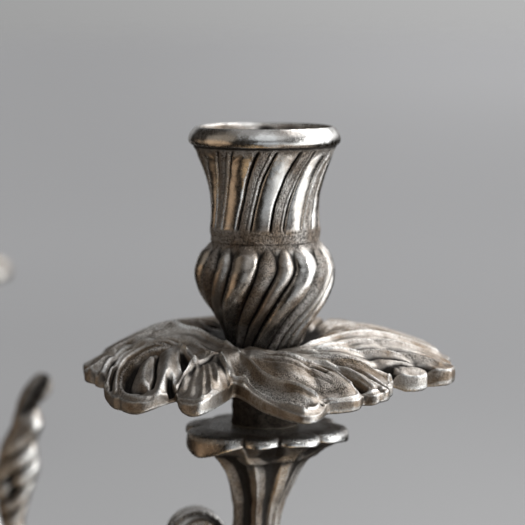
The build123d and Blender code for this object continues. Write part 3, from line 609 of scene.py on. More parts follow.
def pan_surface(x, y, reach):
    angle, radius = np.degrees(np.arctan2(y, x)), np.hypot(x, y)
    z = pan_ground(angle, radius, reach)
    grain, dark = np.full(z.shape, 0.28), np.zeros(z.shape)
    for outline, height, soft in OVERLAPS:
        ring = dense(plan(outline + outline[:1]), 1.5)
        box = (x > ring[:, 0].min() - 3) & (x < ring[:, 0].max() + 3)
        box &= (y > ring[:, 1].min() - 3) & (y < ring[:, 1].max() + 3)
        gap = nearest(x[box], y[box], ring)[0]
        signed = np.where(inside_of(x[box], y[box], ring), gap, -gap)
        z[box] += height * smooth(-soft, soft, signed) * smooth(17, 26, radius[box])
        # a band of painted shadow lies just outside each raised part, on the leaf it overlaps
        dark[box] += 0.5 * bump(signed, -1.1 * soft - 0.2, 0.5) * smooth(17, 24, radius[box])
    for track, w0, w1, height, power, sandy, black in STROKES:
        line = dense(plan(track), 1.2)
        reach_out = 3.0 * max(w0, w1)
        box = (x > line[:, 0].min() - reach_out) & (x < line[:, 0].max() + reach_out)
        box &= (y > line[:, 1].min() - reach_out) & (y < line[:, 1].max() + reach_out)
        gap, along = nearest(x[box], y[box], line)
        wide = 0.88 * (w0 + (w1 - w0) * along)
        mark = np.exp(-np.abs(gap / wide) ** power)
        mark = mark * (0.12 + 0.88 * smooth(0.0, 0.16, along)) * smooth(9.5, 14, radius[box])
        z[box] += height * (1.3 if abs(height) < 1.6 else 1.0) * mark
        grain[box] += sandy * mark
        # stroke darkness: patina in grooves, painted shade, and below zero painted highlight lines
        dark[box] += black * mark
    points = np.stack([x, y, z], -1)
    z = z + 0.07 * uneven(points, 7.0) + 0.04 * uneven(points + 50, 2.6)
    # the ridges add height, so the sheet is let down towards its edge to keep the edge level
    extra = z[-1] - lookup(PAN_EDGE_Z, angle[-1])
    for _ in range(60):
        extra = 0.25 * np.roll(extra, 1) + 0.5 * extra + 0.25 * np.roll(extra, -1)
    s = (radius - PAN_HUB_R) / (reach - PAN_HUB_R)
    z = z - extra * s ** 3
    z = np.maximum(z, lookup(PAN_EDGE_Z, angle) - lookup(PAN_WALL, angle) + 0.9)
    # painted shade darkens the leaves round the hub under the cup, with a little random tone; then the painted light
    # and shade by angle
    dark = dark + 0.95 * smooth(22, 11, radius) + 0.12 * uneven(points, 5.0)
    dark = dark + lookup(PAN_PAINTED_LIGHT_AND_SHADE, angle) * smooth(17, 24, radius)
    return z, grain, dark


def make_pan(columns=1300, rows=118):
    angle = np.arange(columns) / columns * 360
    reach = lookup(PAN_OUTLINE, angle)
    for _ in range(8):
        reach = 0.25 * np.roll(reach, 1) + 0.5 * reach + 0.25 * np.roll(reach, -1)
    flat = np.stack([reach * np.cos(np.radians(angle)), reach * np.sin(np.radians(angle)), 0 * reach], -1)
    reach = reach + 0.10 * uneven(flat, 4.0) + 0.02 * uneven(flat, 1.6)
    c, n = np.cos(np.radians(angle))[None], np.sin(np.radians(angle))[None]
    s = (1 - (1 - np.linspace(0, 1, rows)) ** 1.12)[:, None]
    radius = PAN_HUB_R + (reach[None] - PAN_HUB_R) * s
    z, grain, dark = pan_surface(radius * c, radius * n, reach[None] + 0 * s)
    z[0] = z[0].mean()
    edge_z, edge_grain = z[-1].copy(), grain[-1].copy()
    soft_z = 0.35 * edge_z + 0.65 * lookup(PAN_EDGE_Z, angle)
    wall = lookup(PAN_WALL, angle)
    for _ in range(40):
        soft_z = 0.25 * np.roll(soft_z, 1) + 0.5 * soft_z + 0.25 * np.roll(soft_z, -1)
    rings = [(np.full(columns, 3.2), np.full(columns, 19.0), 0.5, 0.5)]
    rings += [(radius[k], z[k], grain[k], dark[k]) for k in range(rows)]
    # the top edge rings take a painted highlight line, the lower wall rings the painted shade by angle; the underside
    # is marked darker
    for out, share, drop in ((0.16, 0.0, 0.10), (0.34, 0.0, 0.32), (0.46, 0.15, 0.8), (0.5, 0.4, 1.5),
                             (0.46, 0.6, 2.3), (0.36, 0.85, 3.0), (0.1, 1.0, 3.4), (-0.5, 1.0, 3.7)):
        level = np.maximum(edge_z * (1 - share) + soft_z * share - drop * wall / 3.7, soft_z - wall)
        rough = 0.03 * np.sin(np.arange(columns) * 0.9 + 3 * drop) * np.sin(np.arange(columns) * 0.23 + drop)
        rings.append((reach + out + rough, level, 0.30 + 0.2 * edge_grain,
                      lookup(WALL_PAINTED_SHADE, angle) if drop > 0.5 else -0.12))
    for share in (0.9, 0.78, 0.64, 0.5, 0.36, 0.22, 0.1, 0.03):
        under = PAN_HUB_R + (reach - PAN_HUB_R) * share
        ground = pan_ground(angle, under, reach) - wall * smooth(1.0, 0.85, share) - 0.4
        level = ground * smooth(1.0, 0.8, share) + (soft_z - wall) * (1 - smooth(1.0, 0.8, share))
        rings.append((under, level - 0.9 * smooth(0.2, 0.0, share), 0.5, 0.45))
    rings += [(np.full(columns, r), np.full(columns, level), 0.5, 0.5) for r, level in ((9.6, 14.05), (3.2, 14.0))]
    points = np.stack([np.stack([r * c[0], r * n[0], z_], -1) for r, z_, _, _ in rings])
    marks = [np.stack([value + 0 * reach for value in column]) for column in list(zip(*rings))[2:]]
    return points, grid_faces(len(rings), columns, True, True), *marks


turn = math.radians(VIEW)
spin = np.array([[math.cos(turn), -math.sin(turn), 0], [math.sin(turn), math.cos(turn), 0], [0, 0, 1]])
pan = Shell()
pan_points, pan_faces, pan_grain, pan_dark = make_pan()
pan.add(pan_points @ spin.T + np.array([REACH, 0, SEAT]), pan_faces, pan_grain, pan_dark)
pan_mesh = pan.mesh("drip_pan_mesh", 11)


# ---------------------------------------------------------------- collar and plug
def collar_relief(radius, height, angle):
    points = np.stack([radius * np.cos(angle), radius * np.sin(angle), height], -1)
    above = (height > 0.4) & (radius > 8)
    rough = 0.16 * uneven(points, 2.6) + 0.10 * uneven(points + 30, 1.3)
    return np.where(above, rough, 0), np.where(above, 1.0, 0.2) + 0 * radius, np.where(above, 0.12, 0) + 0 * radius


collar = Shell()
collar_profile = np.vstack([dense([(3.15, 1.2), (0.02, 1.0), (0.02, -12), (4.2, -12), (4.95, -11.2), (4.95, -0.02),
                                   (8.2, 0.02)], 0.8, False),
                            dense([(8.2, 0.02), (8.55, 0.4), (8.35, 2), (8.25, 5), (8.4, 9), (8.9, 12), (9.3, 13.9)],
                                  0.28)[1:],
                            dense([(9.3, 13.9), (3.15, 14.0), (3.15, 2.0)], 1.5, False)[1:]])
collar.add(*turned_skin(collar_profile, 260, (REACH, 0, SEAT), collar_relief))
collar_mesh = collar.mesh("collar_mesh", 8)

for light, turned in (("right", False), ("left", True)):
    body = f"{light}_sconce"
    build(f"{light}_cup_body", cup_mesh, polished, body, (f"{light}_candle_cup",), turned)
    build(f"{light}_pan_leaves", pan_mesh, pan_silver, body, (f"{light}_drip_pan",), turned)
    build(f"{light}_collar_body", collar_mesh, rough_cast, body, (f"{light}_collar",), turned)

# ---------------------------------------------------------------- tubes, scrolls and blades
def tube(shell, path, size, count=72, relief=None, flat=1.0, ends=True, upright=(0, 1, 0)):
    """Sweeps a round or relieved section along a path. size gives the radius at each
    point; relief(share, angle) gives the outward offset, grain and darkness."""
    path = np.asarray(path, float)
    size = np.interp(np.linspace(0, 1, len(path)), np.linspace(0, 1, len(size)), size)
    along = np.gradient(path, axis=0)
    along /= np.linalg.norm(along, axis=1, keepdims=True)
    side = np.asarray(upright, float)[None] - along * (along @ np.asarray(upright, float))[:, None]
    side /= np.maximum(np.linalg.norm(side, axis=1, keepdims=True), 1e-6)
    other = np.cross(side, along)
    angle = np.arange(count) / count * 2 * math.pi
    share = np.linspace(0, 1, len(path))[:, None] + 0 * angle[None]
    angles = angle[None] + 0 * share
    offset, grain, dark = relief(share, angles) if relief else (0.0, 0.2, 0.0)
    radius = size[:, None] + offset
    points = (path[:, None] + other[:, None] * (radius * np.cos(angles))[..., None]
              + side[:, None] * (flat * radius * np.sin(angles))[..., None])
    grain, dark = grain + 0 * radius, dark + 0 * radius
    if ends:
        rows = [points]
        for first, row, point in ((True, points[0], path[0]), (False, points[-1], path[-1])):
            caps = [point + (row - point) * k for k in ((0.02, 0.55) if first else (0.55, 0.02))]
            caps = np.stack(caps)
            rows = [caps, *rows] if first else [*rows, caps]
        points = np.concatenate(rows)
        grain = np.concatenate([grain[:1], grain[:1], grain, grain[-1:], grain[-1:]])
        dark = np.concatenate([dark[:1], dark[:1], dark, dark[-1:], dark[-1:]])
    shell.add(points, grid_faces(len(points), count, False, True), grain, dark)


def volute(shell, centre, axis, radius, width, start=0.0, beads=26, turns=1.6, count=200):
    """A rolled scroll end: a smooth band with a beaded edge and a spiral on each face."""
    axis = np.asarray(axis, float) / np.linalg.norm(axis)
    up = np.array([0, 0, 1.0])
    across = np.cross(up, axis)
    angle = np.arange(count) / count * 2 * math.pi
    face = [(r, 0.5) for r in np.linspace(0.02, 0.86, 26)]
    edge = [(0.885, 0.5), (0.915, 0.505), (0.945, 0.505), (0.97, 0.49), (0.985, 0.46)]
    band = [(1.0, w) for w in (0.42, 0.32, 0.2, 0.08, 0.0)]
    half = face + edge + band
    rows = half + [(r, -w) for r, w in half[-2::-1]]
    r = np.array([k[0] for k in rows])[:, None] * radius + 0 * angle[None]
    w = np.array([k[1] for k in rows])[:, None] * width + 0 * angle[None]
    sign = np.sign(w)
    share = r / radius
    spiral = (share * (turns + 0.35) + sign * (angle[None] + start) / (2 * math.pi)) % 1.0
    on_face = smooth(0.90, 0.84, share) * (np.abs(w) > 0.49 * width)
    ridge = bump(np.abs(spiral - 0.5), 0, 0.13)
    dish = -1.5 * on_face * (1 - 0.25 * bump(share, 0, 0.25)) + 1.35 * on_face * ridge
    dish = dish + 0.9 * on_face * bump(share, 0, 0.2)
    pearl = np.abs(np.sin(beads * (angle[None] + start) / 2)) * bump(share, 0.925, 0.035)
    w = w + sign * (dish + 0.55 * pearl * (np.abs(w) > 0.4 * width))
    r = r + 0.22 * bump(w / width, 0, 0.22) * (share > 0.99) * -1
    points = (np.asarray(centre, float) + axis * w[..., None] + across * (r * np.cos(angle))[..., None]
              + up * (r * np.sin(angle))[..., None])
    dark = 0.10 * on_face * (1 - ridge) - 0.35 * on_face * ridge + 0.4 * bump(share, 0.885, 0.02) - 0.3 * pearl
    dark = dark + 0.4 * bump(share, 0.965, 0.012) - 0.25 * (share > 0.98)
    shell.add(points, grid_faces(len(rows), count, False, True), 0.15 + 0 * r, dark)


# ---------------------------------------------------------------- plate and arm
PLATE_LOBES = ((218, 37, 4.6), (267.5, 14.5, 3.6), (300.5, 18.5, 3.9), (348, 29, 4.4), (38, 21, 4.0), (79, 20, 4.2),
               (120, 21, 4.0), (161, 21, 4.2))


def plate_edge(angle):
    """Distance of the plate's outline from its axis, by plan angle."""
    seen = np.degrees(angle) - VIEW
    lobe = np.zeros_like(angle)
    for centre, half, out in PLATE_LOBES:
        gap = (seen - centre + 180) % 360 - 180
        lobe = np.maximum(lobe, out * np.clip(1 - (gap / half) ** 2, 0, 1) ** 0.5)
    return 16.6 + lobe, lobe / 4.4


def channels(angle, number, power=0.8):
    """Sharp ridges with rounded channels between them: 1 on a ridge, 0 in a channel."""
    return 1 - np.abs(np.sin(angle * number / 2)) ** power


def add_arm(shell):
    count = 360
    angle = np.arange(count) / count * 2 * math.pi
    edge, lobe = plate_edge(angle)
    soft = edge.copy()
    for _ in range(14):
        soft = (np.roll(soft, 1) + soft + np.roll(soft, -1)) / 3
    rows, grain, dark = [], [], []

    def ring(radius, x, z, lean=0.0, g=0.3, d=0.0):
        c, n = math.cos(lean), math.sin(lean)
        out = radius * np.cos(angle)
        rows.append(np.stack([x + out * c, radius * np.sin(angle), z + out * n + 0 * out], 1))
        grain.append(g + 0 * angle)
        dark.append(d + 0 * angle)

    for share, drop in ((0.0, 0), (0.20, 0), (0.40, 0), (0.6, 0.05), (0.72, 0.1), (0.82, 0.2), (0.90, 0.35),
                        (0.95, 0.5), (0.98, 0.75), (1.0, 1.1)):
        mix = edge * smooth(0.5, 0.95, share) + soft * (1 - smooth(0.5, 0.95, share))
        ring(5.02 + (mix - 5.02) * share, REACH, SEAT - drop, g=0.6, d=0.14)
    seen = (np.degrees(angle) - VIEW) % 360
    tongue = bump(seen, 218.0, 30.0)
    wall = 2.5 + 3.3 * tongue * lobe + 1.1 * bump((seen - 350 + 180) % 360 - 180, 0, 30) * lobe
    # painted shade on the plate's wall: the long tongue and the notches between lobes darker, the right end lighter
    shade = 0.62 * tongue + 0.6 * smooth(0.50, 0.05, lobe) - 0.15 * bump(seen, 340, 22)
    facet = 0.25 * np.sin(seen * 0.21) * np.sin(seen * 0.083 + 1.3)
    for share, out in ((0.35, 0.2), (0.7, 0.25), (0.92, 0.15), (1.0, -0.1)):
        ring(edge + out + facet * share, REACH, SEAT - 1.1 - (wall - 1.1) * share, g=0.12, d=shade)
    for inward in (0.05, 0.14, 0.26, 0.4, 0.55, 0.7, 0.85):
        sharp = channels(angle + 0.90, 7)
        stem = 12.6 + 2.4 * sharp - 0.95
        fold = 0.9 * sharp * math.sin(math.pi * inward)
        # the hood is darker in its channels as patina, with painted shade between the lobes and at the front
        furrow_and_shade = 0.3 * (1 - lobe) + 0.75 * smooth(0.30, 0.05, sharp) + 0.4 * bump(seen, 281, 9)
        ring((edge - 0.1) * (1 - inward) + stem * inward + fold, REACH,
             SEAT - wall - (6.7 - wall) * inward ** 1.7, g=0.2, d=shade * (1 - inward) + furrow_and_shade * inward)
    path = dense([(REACH, 253.2), (REACH - 0.1, 250.5), (REACH - 0.9, 247.0), (REACH - 2.2, 241.0),
                  (REACH - 4.0, 234.0), (117.0, 218.0), (111.0, 197.0), (100.0, 178.5), (84.0, 169.0), (64.0, 167.6),
                  (40.0, 173.0), (24.0, 179.4), (12.8, 182.0)], 0.9)
    length = np.r_[0, np.cumsum(np.linalg.norm(np.diff(path, axis=0), axis=1))]
    size = np.interp(length, [0, 1.6, 3.6, 5.8, 8.4, 11.6, 14.2, 18.6, 30, 70, 110, 160, 178, length[-1]],
                     [13.0, 11.6, 10.2, 8.9, 7.8, 6.8, 5.9, 5.3, 5.3, 6.4, 6.6, 5.6, 5.8, 6.6])
    slope = np.gradient(path, axis=0)
    for k, (x, z) in enumerate(path):
        lean = math.atan2(-slope[k, 0], -slope[k, 1])
        swing = 0.74 + 0.16 * math.exp(-length[k] / 5.0) - 0.008 * length[k]
        sharp = channels(angle + swing, 7)
        fine = channels(angle + swing + 0.2, 14)
        fade = float(smooth(length[-1], length[-1] - 10, length[k]))
        wave = (2.3 * sharp - 0.95 + 0.35 * fine) * fade * (1.0 - 0.35 * float(smooth(12, 34, length[k])))
        ring(size[k] + wave, x, z, lean, g=0.15, d=0)
        grain[-1] = 0.15 + 0.7 * bump(around(angle / (2 * math.pi) * 7, 0.45), 0, 0.3) * fade
        dark[-1] = 0.75 * smooth(0.30, 0.05, sharp) * fade
        upper, lower = math.exp(-(length[k] / 16) ** 2), math.exp(-((length[k] - 16) / 11) ** 2)
        # painted shade patches on the front and front left of the riser, and a painted highlight streak down its front
        # right
        dark[-1] += 0.45 * bump(seen, 281, 9) * upper + 0.7 * bump(seen, 232, 10) * lower
        dark[-1] -= 0.45 * bump(seen, 311, 9) * float(smooth(80, 30, length[k]))
    points = np.stack(rows)
    points = points + (0.10 * uneven(points, 4.0) + 0.05 * uneven(points, 1.8))[..., None] * 0.6
    points[0] = np.stack([REACH + 5.02 * np.cos(angle), 5.02 * np.sin(angle), SEAT + 0 * angle], 1)
    well = [np.stack([REACH + r * np.cos(angle), r * np.sin(angle), SEAT - d + 0 * angle], 1)
            for r, d in ((0.05, 12.5), (5.02, 12.4), (5.02, 6.0))]
    end = [points[-1] * k + np.array([12.8, 0, 182.0]) * (1 - k) for k in (0.55, 0.02)]
    grain = [grain[0]] * 3 + grain + [grain[-1]] * 2
    dark = [dark[0]] * 3 + dark + [dark[-1]] * 2
    points = np.concatenate([np.stack(well), points, np.stack(end)])
    shell.add(points, grid_faces(len(points), count, False, True), np.stack(grain), np.stack(dark))


def scroll_relief(number, tall):
    def relief(share, angle):
        ridge = channels(angle + 0.8 * share, number, 0.9)
        return tall * (ridge - 0.35), 0.35 * (1 - ridge), 0.55 * smooth(0.3, 0.0, ridge)
    return relief


arm = Shell()
add_arm(arm)
side_axis = (math.sin(math.radians(70)), -math.cos(math.radians(70)), 0)
side_path = dense([(98.0, 0.5, 175.0), (98.6, -8.0, 179.0), (99.2, -14.6, 190.0), (100.6, -16.6, 207.0),
                   (102.0, -16.2, 220.0), (102.5, -15.0, 229.5)], 0.8)
tube(arm, side_path, [5.4, 4.4, 3.7, 3.2, 2.9, 2.0], relief=scroll_relief(5, 0.9), upright=(1, 0, 0))
volute(arm, (105.0, -9.0, 228.0), side_axis, 7.8, 8.0, 0.6)
inner_path = dense([(84.0, 0, 168.5), (72.0, 0, 172.0), (58.0, 0, 178.5), (47.0, 0, 185.5), (41.8, 0, 193.0),
                    (41.0, 0, 200.0)], 0.8)
tube(arm, inner_path, [5.2, 4.4, 3.7, 3.2, 2.8, 2.0], relief=scroll_relief(5, 0.9))
volute(arm, (46.0, 0, 199.0), (0, -1, 0), 6.5, 8.0, 2.2, 22)
arm_mesh = arm.mesh("arm_mesh", 10)
for light, turned in (("right", False), ("left", True)):
    build(f"{light}_arm_body", arm_mesh, polished, "branch", (f"{light}_arm",), turned)

# ---------------------------------------------------------------- centre finial
def add_blade(shell, edges, thick, count=120, rows=190):
    """A leaf that stands up, from (height, right edge, left edge) across the camera's view."""
    k = spread(np.array(edges, float), np.linspace(0, 1, rows))
    angle = np.arange(count) / count * 2 * math.pi
    height, right, left = (k[:, i][:, None] for i in range(3))
    share = np.linspace(0, 1, rows)[:, None]
    half, middle = (right - left) / 2, (right + left) / 2
    u = middle + half * np.cos(angle)[None]
    deep = np.sin(angle)[None] + 0 * share
    depth = thick * np.minimum(1, 0.35 + half / 9.0) * smooth(1.0, 0.93, share)
    leafy = smooth(0.10, 0.22, share) * smooth(1.0, 0.94, share)
    high = height + 0 * u
    veins = sum(bump(high - 0.62 * (u + 8.0), at, 0.9) for at in (212, 217.6, 223.4, 229.4, 235.4))
    cuts = sum(bump(high - 0.62 * (u + 8.0), at, 0.7) for at in (214.8, 220.4, 226.4, 232.2))
    knob = bump(u, -1.6, 2.4) * bump(high, 239.5, 3.2)
    hollow_and_shade = bump(u, -9.5, 2.4) * bump(high, 222.0, 5.0)
    curl = smooth(241.0, 246.0, high) * bump(u - 0.55 * (high - 246), -4.0, 3.2)
    front = leafy * (0.9 * veins - 0.9 * cuts + 1.7 * knob - 1.9 * hollow_and_shade - 1.6 * curl)
    v = depth * deep + front * np.clip(deep, 0, 1) + 0.5 * leafy * (cuts - veins) * np.clip(-deep, 0, 1)
    points = np.asarray(RIGHT) * u[..., None] + np.asarray(TOWARDS) * v[..., None]
    points[..., 2] = high + 0.5 * leafy * np.cos(angle)[None]
    points = points + (0.14 * uneven(points, 3.5))[..., None] * 0.6
    # darker cuts as patina; the hollow, the curled face and the upper part darkened as painted shade, and the knob
    # lightened as a painted highlight
    dark = leafy * (0.6 * cuts + 0.8 * hollow_and_shade + 0.7 * curl - 0.5 * knob) + 0.22 * smooth(236.0, 250.0, high) + 0 * u
    shell.add(points, grid_faces(rows, count, False, True), 0.3 + 0 * u, dark)


finial = Shell()
add_blade(finial, [(196.5, 5.6, -5.6), (200.5, 3.6, -6.6), (204.0, -0.6, -9.6), (207.0, -4.6, -11.4),
                   (209.6, -6.1, -12.6), (213.5, -5.4, -13.6), (217.0, -4.4, -14.0), (221.0, -3.1, -14.4),
                   (225.0, -1.6, -14.4), (228.0, -1.2, -14.0), (231.0, -1.3, -13.6), (234.5, -1.9, -12.8),
                   (237.0, -1.0, -11.6), (240.0, 0.0, -9.9), (242.5, -0.5, -9.2), (245.8, -1.3, -8.2),
                   (247.6, 0.6, -7.8), (249.6, 2.3, -7.0), (251.5, 3.0, -6.0), (253.4, 2.8, -4.6), (255.0, 1.6, -3.2),
                   (256.2, -0.2, -1.0)], 4.2)
foot = np.vstack([dense([(0.02, 190), (7.95, 190), (7.95, 196), (12.0, 196.05), (12.1, 197.4)], 1.0, False),
                  dense([(12.1, 197.4), (11.4, 198.6), (8.6, 199.2), (6.8, 200.6), (5.6, 202.6)], 0.3)[1:],
                  dense([(5.6, 202.6), (0.02, 202.8)], 1.5, False)[1:]])


def leafy_turn(number, tall, low, high, twist=0.0, phase=0.0, grit=0.3):
    """Relief for turned pieces: sharp twisted ridges between two heights."""
    def relief(radius, height, angle):
        gate = smooth(low, low + 1.2, height) * (1 - smooth(high - 1.2, high, height)) * (radius > 5.5)
        ridge = channels(angle + twist * (height - low) / max(high - low, 1) + phase, number, 0.9)
        points = np.stack([radius * np.cos(angle), radius * np.sin(angle), height], -1)
        return (gate * tall * (ridge - 0.45) + 0.05 * uneven(points, 3.0) * (radius > 9),
                grit * gate * (1 - ridge), gate * 0.7 * smooth(0.3, 0.0, ridge))
    return relief


finial.add(*turned_skin(foot, 240, (0, 0, 0), leafy_turn(14, 0.6, 197.6, 201.5)))
build("centre_finial_leaf", finial.mesh("finial_mesh", 10), polished, "branch", ("centre_finial",))

# ---------------------------------------------------------------- hub and stem
def turned_piece(name, node, body, outer, inner, relief, count=420, step=0.4, look=None):
    """A turned silver piece: a sculpted outer profile closed by a plain inner one."""
    profile = np.vstack([dense(outer, step), dense([outer[-1], *inner, outer[0]], 1.6, False)[1:-1]])
    shell = Shell()
    shell.add(*turned_skin(profile, count, (0, 0, 0), relief))
    return build(name, shell.mesh(f"{name}_mesh", 10), look or polished, body, (node,))


turned_piece("stem_spool_body", "stem_spool", "candlestick",
             [(15.0, 64.0), (15.6, 65.4), (14.6, 66.6), (11.0, 67.8), (8.9, 70.4), (8.3, 74.0), (8.9, 77.6),
              (10.6, 80.0), (12.2, 81.0), (12.5, 82.1), (11.6, 83.0)],
             [(4.2, 83.0), (4.2, 64.0)], leafy_turn(10, 1.0, 67.2, 80.6, 0.5))
turned_piece("stem_knop_body", "stem_knop", "candlestick",
             [(11.5, 83.0), (13.4, 84.8), (15.9, 88.0), (17.2, 92.0), (17.6, 96.0), (16.6, 100.6), (14.2, 104.4),
              (11.4, 106.6), (10.6, 107.4), (10.0, 108.0)],
             [(4.2, 108.0), (4.2, 83.0)], leafy_turn(12, 1.7, 83.6, 106.8, -1.0))
turned_piece("stem_baluster_body", "stem_baluster", "candlestick",
             [(9.8, 108.0), (10.4, 109.0), (9.4, 110.2), (7.9, 112.6), (7.9, 116.0), (9.0, 121.0), (11.3, 127.0),
              (13.6, 131.6), (14.2, 135.0), (12.9, 138.6), (10.8, 140.6), (10.2, 142.0)],
             [(4.2, 142.0), (4.2, 108.0)], leafy_turn(10, 1.5, 110.6, 140.6, 1.1))
turned_piece("stem_socket_body", "stem_socket", "candlestick",
             [(9.2, 142.0), (10.4, 143.2), (11.6, 146.4), (12.2, 151.0), (12.1, 156.0), (12.8, 160.2), (14.2, 162.4),
              (14.7, 164.0), (14.2, 165.6), (13.4, 165.95)],
             [(9.0, 165.95), (9.0, 148.0), (4.1, 148.0), (4.1, 142.0)], leafy_turn(12, 1.1, 143.6, 161.6, 0.6))


def hub_relief(radius, height, angle):
    offset, grain, dark = leafy_turn(12, 1.2, 171.0, 193.6, 0.5)(radius, height, angle)
    pad = bump(np.abs(np.cos(angle)), 1.0, 0.16) * bump(height, 182.0, 7.0)
    flat = np.clip(12.55 / np.maximum(np.abs(np.cos(angle)), 0.3) - radius, -4, 0)
    near = smooth(0.86, 0.90, np.abs(np.cos(angle))) * smooth(9.0, 6.6, np.abs(height - 182.0)) * (radius > 9)
    return (offset * (1 - np.clip(pad * 1.6, 0, 1))) * (1 - near) + near * flat, grain, dark * (1 - near)


turned_piece("hub_body", "branch_hub", "branch",
             [(12.0, 169.05), (12.9, 170.2), (12.6, 171.6), (13.6, 175.0), (14.4, 182.0), (13.8, 189.0), (12.7, 193.6),
              (13.1, 194.8), (12.2, 195.95)],
             [(8.0, 195.95), (8.0, 169.05)], hub_relief)

# ---------------------------------------------------------------- foot
def base_relief(radius, height, angle):
    out = np.clip((radius - 16.0) / 50.0, 0, 1)
    swirl = angle + 1.1 * out ** 0.8
    big = 0.5 - 0.5 * np.cos(8 * swirl)
    ridge = channels(swirl, 24, 0.9)
    upper = (ORDER < BASE_ROWS)
    gate = smooth(16.2, 19.0, radius) * (1 - smooth(64.5, 67.5, radius)) * upper
    points = np.stack([radius * np.cos(angle), radius * np.sin(angle), height], -1)
    offset = gate * (1.3 * (big - 0.5) * (0.4 + out) + 1.25 * (ridge - 0.45) * (0.5 + 0.5 * out))
    rim = smooth(56.0, 69.0, radius)
    offset = offset - rim * 3.4 * (1 - (0.5 + 0.5 * np.cos(8 * (angle + 1.02))) ** 0.45)
    offset = offset + 0.12 * uneven(points, 5.0) * upper
    return offset, gate * (0.45 * (1 - ridge) + 0.2), gate * 0.75 * smooth(0.25, 0.0, ridge)


base_top = dense([(4.3, 63.95), (14.9, 63.95), (15.6, 62.8), (15.4, 61.4), (16.2, 59.0), (18.4, 54.0), (23.4, 47.2),
                  (30.6, 39.6), (39.2, 32.2), (48.2, 24.4), (55.6, 17.2), (61.0, 12.2), (66.0, 9.6), (69.4, 8.0),
                  (70.0, 6.2), (69.6, 4.0), (69.9, 2.6), (69.3, 1.65)], 0.55)
BASE_ROWS = len(base_top)
base_under = dense([(69.3, 1.65), (53.0, 1.65), (50.0, 9.0), (43.0, 21.0), (33.0, 29.5), (24.0, 36.5), (16.0, 44.0),
                    (4.3, 44.0), (4.3, 63.0)], 1.6, False)
base_profile = np.vstack([base_top, base_under[1:]])
ORDER = np.arange(len(base_profile))[:, None]
base = Shell()
base.add(*turned_skin(base_profile, 640, (0, 0, 0), base_relief))
build("base_body", base.mesh("base_mesh", 10), polished, "candlestick", ("base",))

# ---------------------------------------------------------------- carried-over CAD pieces
def brushed_steel():
    """Turned steel: fine grooves round the axis, a little oil brown and soft stains."""
    material = bpy.data.materials.new("turned_steel")
    material.use_nodes = True
    tree = material.node_tree
    shader = tree.nodes["Principled BSDF"]
    place = add(tree, "ShaderNodeTexCoord").outputs["Object"]
    stain = remap(tree, noise(tree, place, 220, 4, 0.6), 0.45, 0.70)
    tree.links.new(blend_colour(tree, stain, (0.46, 0.45, 0.43, 1), (0.20, 0.17, 0.14, 1)), shader.inputs["Base Color"])
    shader.inputs["Metallic"].default_value = 1.0
    stretched = add(tree, "ShaderNodeMapping", {"Vector": place, "Scale": (1.0, 1.0, 40.0)}).outputs[0]
    grooves = noise(tree, stretched, 300, 3, 0.6)
    tree.links.new(remap(tree, grooves, 0.3, 0.7, 0.26, 0.42), shader.inputs["Roughness"])
    cut = add(tree, "ShaderNodeBump", {"Height": grooves, "Strength": 0.35, "Distance": 0.00004})
    tree.links.new(cut.outputs[0], shader.inputs["Normal"])
    return material


def green_baize():
    """Green wool felt: short crossing fibres, soft sheen and worn paler patches."""
    material = bpy.data.materials.new("green_baize")
    material.use_nodes = True
    tree = material.node_tree
    shader = tree.nodes["Principled BSDF"]
    place = add(tree, "ShaderNodeTexCoord").outputs["Object"]
    fibres = [noise(tree, add(tree, "ShaderNodeMapping", {"Vector": place, "Scale": scale}).outputs[0], 900, 4, 0.7, 1.5)
              for scale in ((1.0, 0.25, 1.0), (0.25, 1.0, 1.0))]
    fluff = calc(tree, "MAXIMUM", *fibres)
    worn = remap(tree, noise(tree, place, 60, 3), 0.45, 0.75)
    deep = blend_colour(tree, remap(tree, fluff, 0.40, 0.70), (0.018, 0.055, 0.030, 1), (0.075, 0.17, 0.095, 1))
    tree.links.new(blend_colour(tree, calc(tree, "MULTIPLY", worn, 0.4), deep, (0.16, 0.22, 0.15, 1)),
                   shader.inputs["Base Color"])
    shader.inputs["Roughness"].default_value = 0.95
    shader.inputs["Sheen Weight"].default_value = 0.5
    nap = add(tree, "ShaderNodeBump", {"Height": fluff, "Strength": 0.8, "Distance": 0.0002})
    tree.links.new(nap.outputs[0], shader.inputs["Normal"])
    return material


plain_silver = silver("aged_silver_plain", marked=False, aged=0.5)
steel, felt = brushed_steel(), green_baize()
PLAIN_LOOKS = {"base_felt": felt, "base_washer": steel, "base_nut": steel, "tie_rod": steel, "arm_screws": steel,
               "right_sconce_screw": steel, "left_sconce_screw": steel}
for name, piece in nodes.items():
    piece.data.materials.clear()
    piece.data.materials.append(PLAIN_LOOKS.get(name, plain_silver))

# ---------------------------------------------------------------- stage, light and camera
floor_mesh = bpy.data.meshes.new("floor_mesh")
floor_mesh.from_pydata([(-30, -30, 0), (30, -30, 0), (30, 30, 0), (-30, 30, 0)], [], [(0, 1, 2, 3)])
floor = bpy.data.objects.new("floor", floor_mesh)
bpy.context.scene.collection.objects.link(floor)
floor_look = bpy.data.materials.new("pale_floor")
floor_look.use_nodes = True
floor_tree = floor_look.node_tree
floor_shader = floor_tree.nodes["Principled BSDF"]
floor_place = add(floor_tree, "ShaderNodeTexCoord").outputs["Object"]
mottle = noise(floor_tree, floor_place, 1.1, 2, 0.5)
away = add(floor_tree, "ShaderNodeVectorMath", {0: floor_place}, operation="LENGTH").outputs["Value"]
